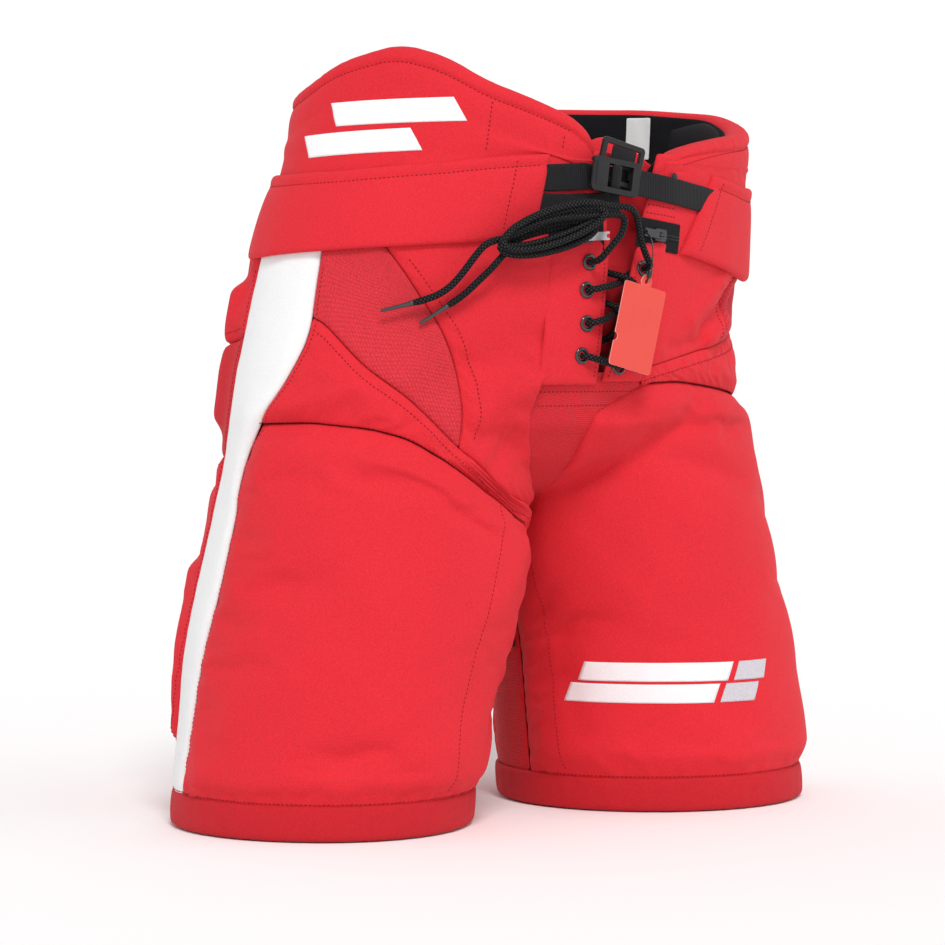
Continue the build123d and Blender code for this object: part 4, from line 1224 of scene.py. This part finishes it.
def zip_axes(word):
    """The tape's fly end, its direction, its width's direction and its outward direction."""
    (x0, z0), (x1, z1) = ZIPS[word]
    a, b = front(x0, z0, ZIP_PROUD), front(x1, z1, ZIP_PROUD)
    along = (b - a) / np.linalg.norm(b - a)
    out = np.array([along[1], -along[0], 0.0]) * (1 if b[0] > a[0] else -1)
    out -= along * out.dot(along)
    out /= np.linalg.norm(out)
    return a, along, np.cross(out, along), out, np.linalg.norm(b - a)


def make_zip(word):
    start, along, wide, out, length = zip_axes(word)
    u = np.linspace(0, length, 24)[None, :, None]
    v = np.linspace(-11, 11, 13)[:, None, None]
    base = start + along * u + wide * v
    crown = (0.15 + 0.35 * np.exp(-((v / 2.2) ** 2))) * out
    tape = closed_sheet(f"zip_tape_{word}", base + crown, base - out * 0.6, M["tape"])
    keep(tape, f"zipper_tape_{word}")
    pitch = 1.3
    count = int(length / pitch) - 1
    points, faces = [], []
    for row in (-1, 1):
        for i in range(count):
            middle = start + along * (pitch * (i + (0.5 if row > 0 else 1.0))) + wide * row * 1.1 + out * 1.0
            corner = len(points)
            for du, dv, dw in ((-0.42, -1.3, -0.5), (0.42, -1.3, -0.5), (0.42, 1.3, -0.5), (-0.42, 1.3, -0.5),
                               (-0.3, -1.0, 0.5), (0.3, -1.0, 0.5), (0.3, 1.0, 0.5), (-0.3, 1.0, 0.5)):
                points.append(middle + along * du + wide * dv + out * dw)
            faces += [tuple(corner + k for k in quad) for quad in
                      ((0, 3, 2, 1), (4, 5, 6, 7), (0, 1, 5, 4), (1, 2, 6, 5), (2, 3, 7, 6), (3, 0, 4, 7))]
    keep(finish_mesh(f"zip_teeth_{word}", points, faces, None, M["zip_metal"]))


for word in SIDES:
    make_zip(word)

# Hang tag's string and bead, and the care label ------------------------------------------------------
STRING_ROUTE = [(36.5, -127.2, 429.4), (36.6, -134.5, 428.4), (35.6, -141.0, 417.0), (31.6, -143.4, 404.0),
                (29.1, -143.2, 394.4), (29.0, -139.8, 393.0)]


def make_tag():
    path = smooth_route(STRING_ROUTE)
    string, points = braid_tube("tag_string_line", path, 0.6, "string", step=0.6, sides=10, depth=0.0)
    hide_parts("tag_string")
    keep(string)
    profile = [(0.5, -3.4), (1.5, -3.0), (1.9, -1.2), (1.9, 1.2), (1.5, 3.0), (0.5, 3.4)]
    keep(revolve("tag_bead", (30.2, -143.3, 399.0), (0.3, 0, 1), profile, M["string"], 14))


make_tag()


def make_inner_strap():
    """A short black band across the left leg's inner panel, in the belt webbing's cloth."""
    a = np.linspace(-1, 36, 20)[None, :]
    z = np.linspace(119.5, 126.5, 5)[:, None]
    piece = closed_sheet("inner_strap", skin(1, a, z, 1.6 + 0.0 * z), skin(1, a, z, 0.2 + 0.0 * z), M["webbing"])
    keep(piece)


def make_guards():
    """The plastic plates inside the thigh pads, in the same shape as the pad above them."""
    for word, side in SIDES.items():
        a = np.linspace(-149, -43, 40)[None, :]
        z = np.linspace(34, 212, 30)[:, None]
        ribs = 0.35 * np.sin(z * 0.24) * np.ones(a.shape)
        piece = closed_sheet(f"guard_shell_{word}", skin(side, a, z, -3.6 + ribs), skin(side, a, z, -6.2), M["guard"])
        keep(piece, f"thigh_guard_{word}")


make_inner_strap()
make_guards()


def make_label():
    a = np.linspace(24.5, 33.5, 12)[None, :]
    z = np.linspace(492, 525, 16)[:, None]
    wave = 0.5 * np.sin(a * 0.9) * np.sin((z - 492) * 0.1)
    label = closed_sheet("care_label_cloth", ring(a, z, -22.2 - wave), ring(a, z, -21.8 - wave), M["label"])
    keep(label, "care_label")


make_label()


# Stitching and marks: laid on the finished cloth ------------------------------------------------------
def surface(names):
    """What rays meet when they are shot inwards at these pieces, in millimetres."""
    points, faces = [], []
    for name in names:
        mesh = panels[name].data
        start = len(points)
        points += [tuple(v.co / MM) for v in mesh.vertices]
        faces += [tuple(start + k for k in f.vertices) for f in mesh.polygons]
    return BVHTree.FromPolygons(points, faces)


def on_cloth(tree, inside, outside):
    """For each pair of points, where the line from outside to inside meets the cloth, and its normal."""
    places, normals = [], []
    for a, b in zip(inside, outside):
        direction = Vector(a) - Vector(b)
        hit, normal, _, _ = tree.ray_cast(Vector(b), direction.normalized())
        if hit is None:
            continue
        if normal.dot(direction) > 0:
            normal = -normal
        places.append(np.array(hit))
        normals.append(np.array(normal))
    return np.array(places), np.array(normals)


def stitch_row(places, normals, pitch=3.3, length=2.3, width=0.95):
    """Thread stitches along a line: small lens-shaped lumps, nose to tail."""
    along = distances(places)
    points, faces = [], []
    for s in np.arange(pitch * 0.5, along[-1] - pitch * 0.5, pitch):
        middle = np.array([np.interp(s, along, places[:, i]) for i in range(3)])
        ahead = np.array([np.interp(s + 0.6, along, places[:, i]) for i in range(3)]) - middle
        up = np.array([np.interp(s, along, normals[:, i]) for i in range(3)])
        up /= np.linalg.norm(up)
        ahead -= up * ahead.dot(up)
        ahead /= np.linalg.norm(ahead)
        wide = np.cross(up, ahead)
        base = len(points)
        half, w = length / 2.0, width / 2.0
        for du, dv, dw in ((-half, 0, -0.1), (-half * 0.5, -w, 0.05), (-half * 0.5, w, 0.05), (half * 0.5, -w, 0.05),
                           (half * 0.5, w, 0.05), (half, 0, -0.1), (-half * 0.5, 0, 0.45), (half * 0.5, 0, 0.45)):
            points.append(middle + ahead * du + wide * dv + up * dw)
        faces += [tuple(base + k for k in f) for f in
                  ((0, 1, 6), (0, 6, 2), (1, 3, 7, 6), (6, 7, 4, 2), (3, 5, 7), (7, 5, 4), (0, 2, 1), (1, 2, 4, 3),
                   (3, 4, 5))]
    return points, faces


stitch_groups = {}


def sew(group, places, normals, **kind):
    points, faces = stitch_row(places, normals, **kind)
    all_points, all_faces = stitch_groups.setdefault(group, ([], []))
    start = len(all_points)
    all_points += points
    all_faces += [tuple(start + k for k in f) for f in faces]


def half_rays(side, depth=30.0):
    """Makes the pairs of points, inside and outside a half, that a line or mark is laid between."""
    return lambda a, z: (skin(side, a, z, -depth), skin(side, a, z, 30.0))


def ring_rays(a, z):
    return ring(a, z, -12.0), ring(a, z, 30.0)


def front_rays(x, z):
    return front(x, z, -6.0), front(x, z, 25.0)


def sew_line(rays, tree, across, z, group="waist", **kind):
    sew(group, *on_cloth(tree, *rays(across, z)), **kind)


YOKE_Z_AT_VENT = {"right": 280, "left": 352}
PAD_LINE = {  # the thigh pad's upright seam: angle by height, its top, how many points
    "right": ([(30, -75.5), (79, -77.5), (150, -74), (235, -71)], float(seam(-75.0, TOP_SEAM["right"])) - 4, 120),
    "left": ([(30, -22), (120, -20), (205, -19)], 205, 100),
}
SEWN_PANELS = ("thigh_pad", "yoke", "vent_mesh", "front_panel", "inner_rib", "back_thigh", "seat_stretch", "seat",
                "side_stripe")


def make_stitches():
    for word, side in SIDES.items():
        names = [f"{n}_{word}" for n in SEWN_PANELS]
        tree = surface(names)
        legs = surface(names + [f"hem_{word}"])
        rays, group = half_rays(side), f"half_{word}"
        a = np.linspace(-172, INNER_EDGE[word] - 4, 260)
        sew_line(rays, tree, a, seam(a, TOP_SEAM[word]) + 0.4, group)
        a = np.linspace(-151, -40, 160)
        sew_line(rays, tree, a, seam(a, YOKE_SEAM[word]) - 8.5, group)
        points, line_top, count = PAD_LINE[word]
        z = np.linspace(30, line_top, count)
        sew_line(rays, tree, seam(z, points, 8), z, group)
        z = np.linspace(float(YOKE_Z_AT_VENT[word]), 410, 90)
        sew_line(rays, tree, seam(z, VENT_EDGE[word], VENT_SMOOTH) + 5.6, z, group)
        a = np.linspace(-180, 176, 420)
        sew_line(rays, legs, a, np.full(a.shape, 26.4), f"leg_{word}", length=2.6)
        z = np.linspace(34, 405, 150)
        sew_line(rays, tree, seam(z, STRIPE_FRONT, STRIPE_SMOOTH) + 2.4, z, group)
        sew_line(rays, tree, seam(z, STRIPE_BACK, STRIPE_SMOOTH) - 2.4, z, group)
        a = np.linspace(48, 160, 120)
        sew_line(rays, tree, a, seam(a, SEAT_LOW) - 7, group)
        sew_line(rays, tree, a, seam(a, SEAT_HIGH) + 7, group)
        tunnel = surface([f"belt_tunnel_cover_{word}"])
        (_, top_a), end = TUNNEL_FRONT[word]
        a = np.linspace(top_a + (2.0 if end > 0 else -2.0), end, 300)
        sew_line(ring_rays, tunnel, a, tunnel_height(word, a, TUNNEL_GROOVE))
        down = np.linspace(0.06, 0.94, 40)
        offset = -7.5 if word == "right" else 4.6
        a = tunnel_place(word, down) + offset
        sew_line(ring_rays, tunnel, a, tunnel_height(word, a, down))
        collar = surface([f"collar_cover_{word}"])
        start, stop = COLLAR_ENDS[word]
        a = np.linspace(start + (0 if word == "right" else 5.5), stop - (5.5 if word == "right" else 0), 300)
        sew_line(ring_rays, collar, a, seam(a, COLLAR_RIM[word], RIM_SMOOTH) - COLLAR_GROOVE)
    collar = surface(["collar_cover_right"])
    for angle, low, high, count in ((-123.5, 486, 522, 30), (-105.5, 488, 500, 12)):
        sew_line(ring_rays, collar, np.full(count, angle), np.linspace(low, high, count))
    for word, edge, shift in (("right", FLY_EDGE_RIGHT, -4.0), ("left", FLY_EDGE_LEFT, 4.0)):
        tree = surface([f"placket_cover_{word}"])
        z = np.linspace(324, 408, 60)
        sew_line(front_rays, tree, edge_x(edge, z) + shift, z, pitch=3.0, length=2.0)
    gusset = surface(["groin_gusset_cloth", "front_panel_right", "front_panel_left"])
    for z_line in (314.0, 304.0):
        x = np.linspace(-48, 40, 40)
        sew_line(front_rays, gusset, x, np.full(x.shape, z_line))
    pieces = surface(["front_panel_left"])
    x = np.linspace(38, 74, 20)
    for height in (445.0, 451.0):
        sew_line(front_rays, pieces, x, height - 0.12 * (x - 36))
    for group, (points, faces) in stitch_groups.items():
        keep(finish_mesh(f"stitches_{group}", points, faces, None, M["thread"], rounded=False))


MARK_LIFT, MARK_DEPTH = 0.35, 0.3


def mark(name, tree, rays, corners, material):
    """A flat generic bar laid on the cloth; corners are low start, low end, high end, high start."""
    u, v = (share[..., None] for share in unit_grid(10, 40))
    low_start, low_end, high_end, high_start = (np.array(corner, float) for corner in corners)
    plan = (low_start * (1 - u) + low_end * u) * (1 - v) + (high_start * (1 - u) + high_end * u) * v
    inside, outside = rays(plan[..., 0], plan[..., 1])
    places, normals = on_cloth(tree, inside.reshape(-1, 3), outside.reshape(-1, 3))
    places, normals = places.reshape(inside.shape), normals.reshape(inside.shape)
    keep(closed_sheet(name, places + normals * MARK_LIFT, places - normals * MARK_DEPTH, M[material], rounded=False))


def make_marks():
    collar, leg = surface(["collar_cover_right"]), surface(["thigh_pad_left"])
    thigh_rays = half_rays(SIDES["left"], 20.0)
    for name, tree, rays, corners, material in (
            ("collar_upper", collar, ring_rays, [(-166, 504), (-129, 507), (-133, 524), (-170, 521)], "print"),
            ("collar_lower", collar, ring_rays, [(-176, 482), (-139, 486), (-143, 502), (-180, 498)], "print"),
            ("thigh_upper", leg, thigh_rays, [(-31, 99), (-84, 98), (-87, 112), (-34, 113)], "satin"),
            ("thigh_lower", leg, thigh_rays, [(-25, 83), (-78, 82), (-81, 96), (-28, 97)], "satin"),
            ("thigh_upper_end", leg, thigh_rays, [(-86.5, 98), (-101, 98), (-104, 112), (-89.5, 112)],
             "silver_thread"),
            ("thigh_lower_end", leg, thigh_rays, [(-80.5, 82), (-95, 82), (-98, 96), (-83.5, 96)],
             "silver_thread")):
        mark(f"mark_{name}", tree, rays, corners, material)


make_stitches()
make_marks()

# Stage ------------------------------------------------------------------------------------------
def make_stage():
    bpy.ops.mesh.primitive_plane_add(size=160.0, location=(0, 0, -0.0005))
    floor = bpy.context.object
    floor.name = "floor"
    floor.data.materials.append(new_material("floor", (0.95, 0.95, 0.95), 0.95, shine=0.1)[0])
    world = bpy.data.worlds.new("studio")
    world.use_nodes = True
    tree = world.node_tree
    place = node(tree, "ShaderNodeTexCoord")
    split = node(tree, "ShaderNodeSeparateXYZ", {0: place.outputs["Generated"]})
    span = node(tree, "ShaderNodeMapRange", {"Value": split.outputs["Z"], "From Min": 0.12, "From Max": 0.9,
                                             "To Min": 1.02, "To Max": 0.42})
    tree.links.new(span.outputs["Result"], tree.nodes["Background"].inputs["Strength"])
    tree.nodes["Background"].inputs["Color"].default_value = (1.0, 1.0, 1.0, 1)
    bpy.context.scene.world = world
    for name, place, power, width in (("key", (-0.7, -1.5, 2.0), 1.75, 18.0), ("fill", (1.6, -1.2, 0.9), 0.25, 40.0)):
        light = bpy.data.lights.new(name, "SUN")
        light.energy = power
        light.angle = math.radians(width)
        lamp = bpy.data.objects.new(name, light)
        bpy.context.scene.collection.objects.link(lamp)
        lamp.rotation_euler = (-Vector(place)).to_track_quat("-Z", "Y").to_euler()


def make_camera():
    data = bpy.data.cameras.new("camera")
    data.lens = 139.7
    data.sensor_width = 36.0
    data.clip_end = 400.0
    camera = bpy.data.objects.new("camera", data)
    bpy.context.scene.collection.objects.link(camera)
    camera.location = (-1.5773, -2.2460, 0.357)
    target = Vector((-0.0144, 0.0169, 0.2516))
    camera.rotation_euler = (target - camera.location).to_track_quat("-Z", "Y").to_euler()
    bpy.context.scene.camera = camera


make_stage()
make_camera()
bpy.context.scene.view_settings.view_transform = "Standard"

BENDING = ("hip_backing", "guard_shell", "leg_lining_cloth", *SEWN_PANELS, "stitches_half")
RIDERS = {"hook_frame": "hook_half", "slider_body_right": "slider_right", "slider_body_left": "slider_left",
          "pull_tab_right": "pull_right", "pull_tab_left": "pull_left", "tag_card_face": "tag",
          "tag_string_line": "tag", "tag_bead": "tag", "hook_face": "hook_half", "hook_web": "hook_half",
          "inner_strap": "leg_left"}
for word in SIDES:
    for name in BENDING:
        across_hip(panels[f"{name}_{word}"], word)
    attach(panels[f"hem_{word}"], f"leg_{word}")
    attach(panels[f"stitches_leg_{word}"], f"leg_{word}")
for name in [n for n in panels if n.startswith("mark_thigh")]:
    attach(panels[name], "leg_left")
for name, piece in panels.items():
    if "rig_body" not in piece and "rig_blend" not in piece:
        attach(piece, RIDERS.get(name, "waist"))
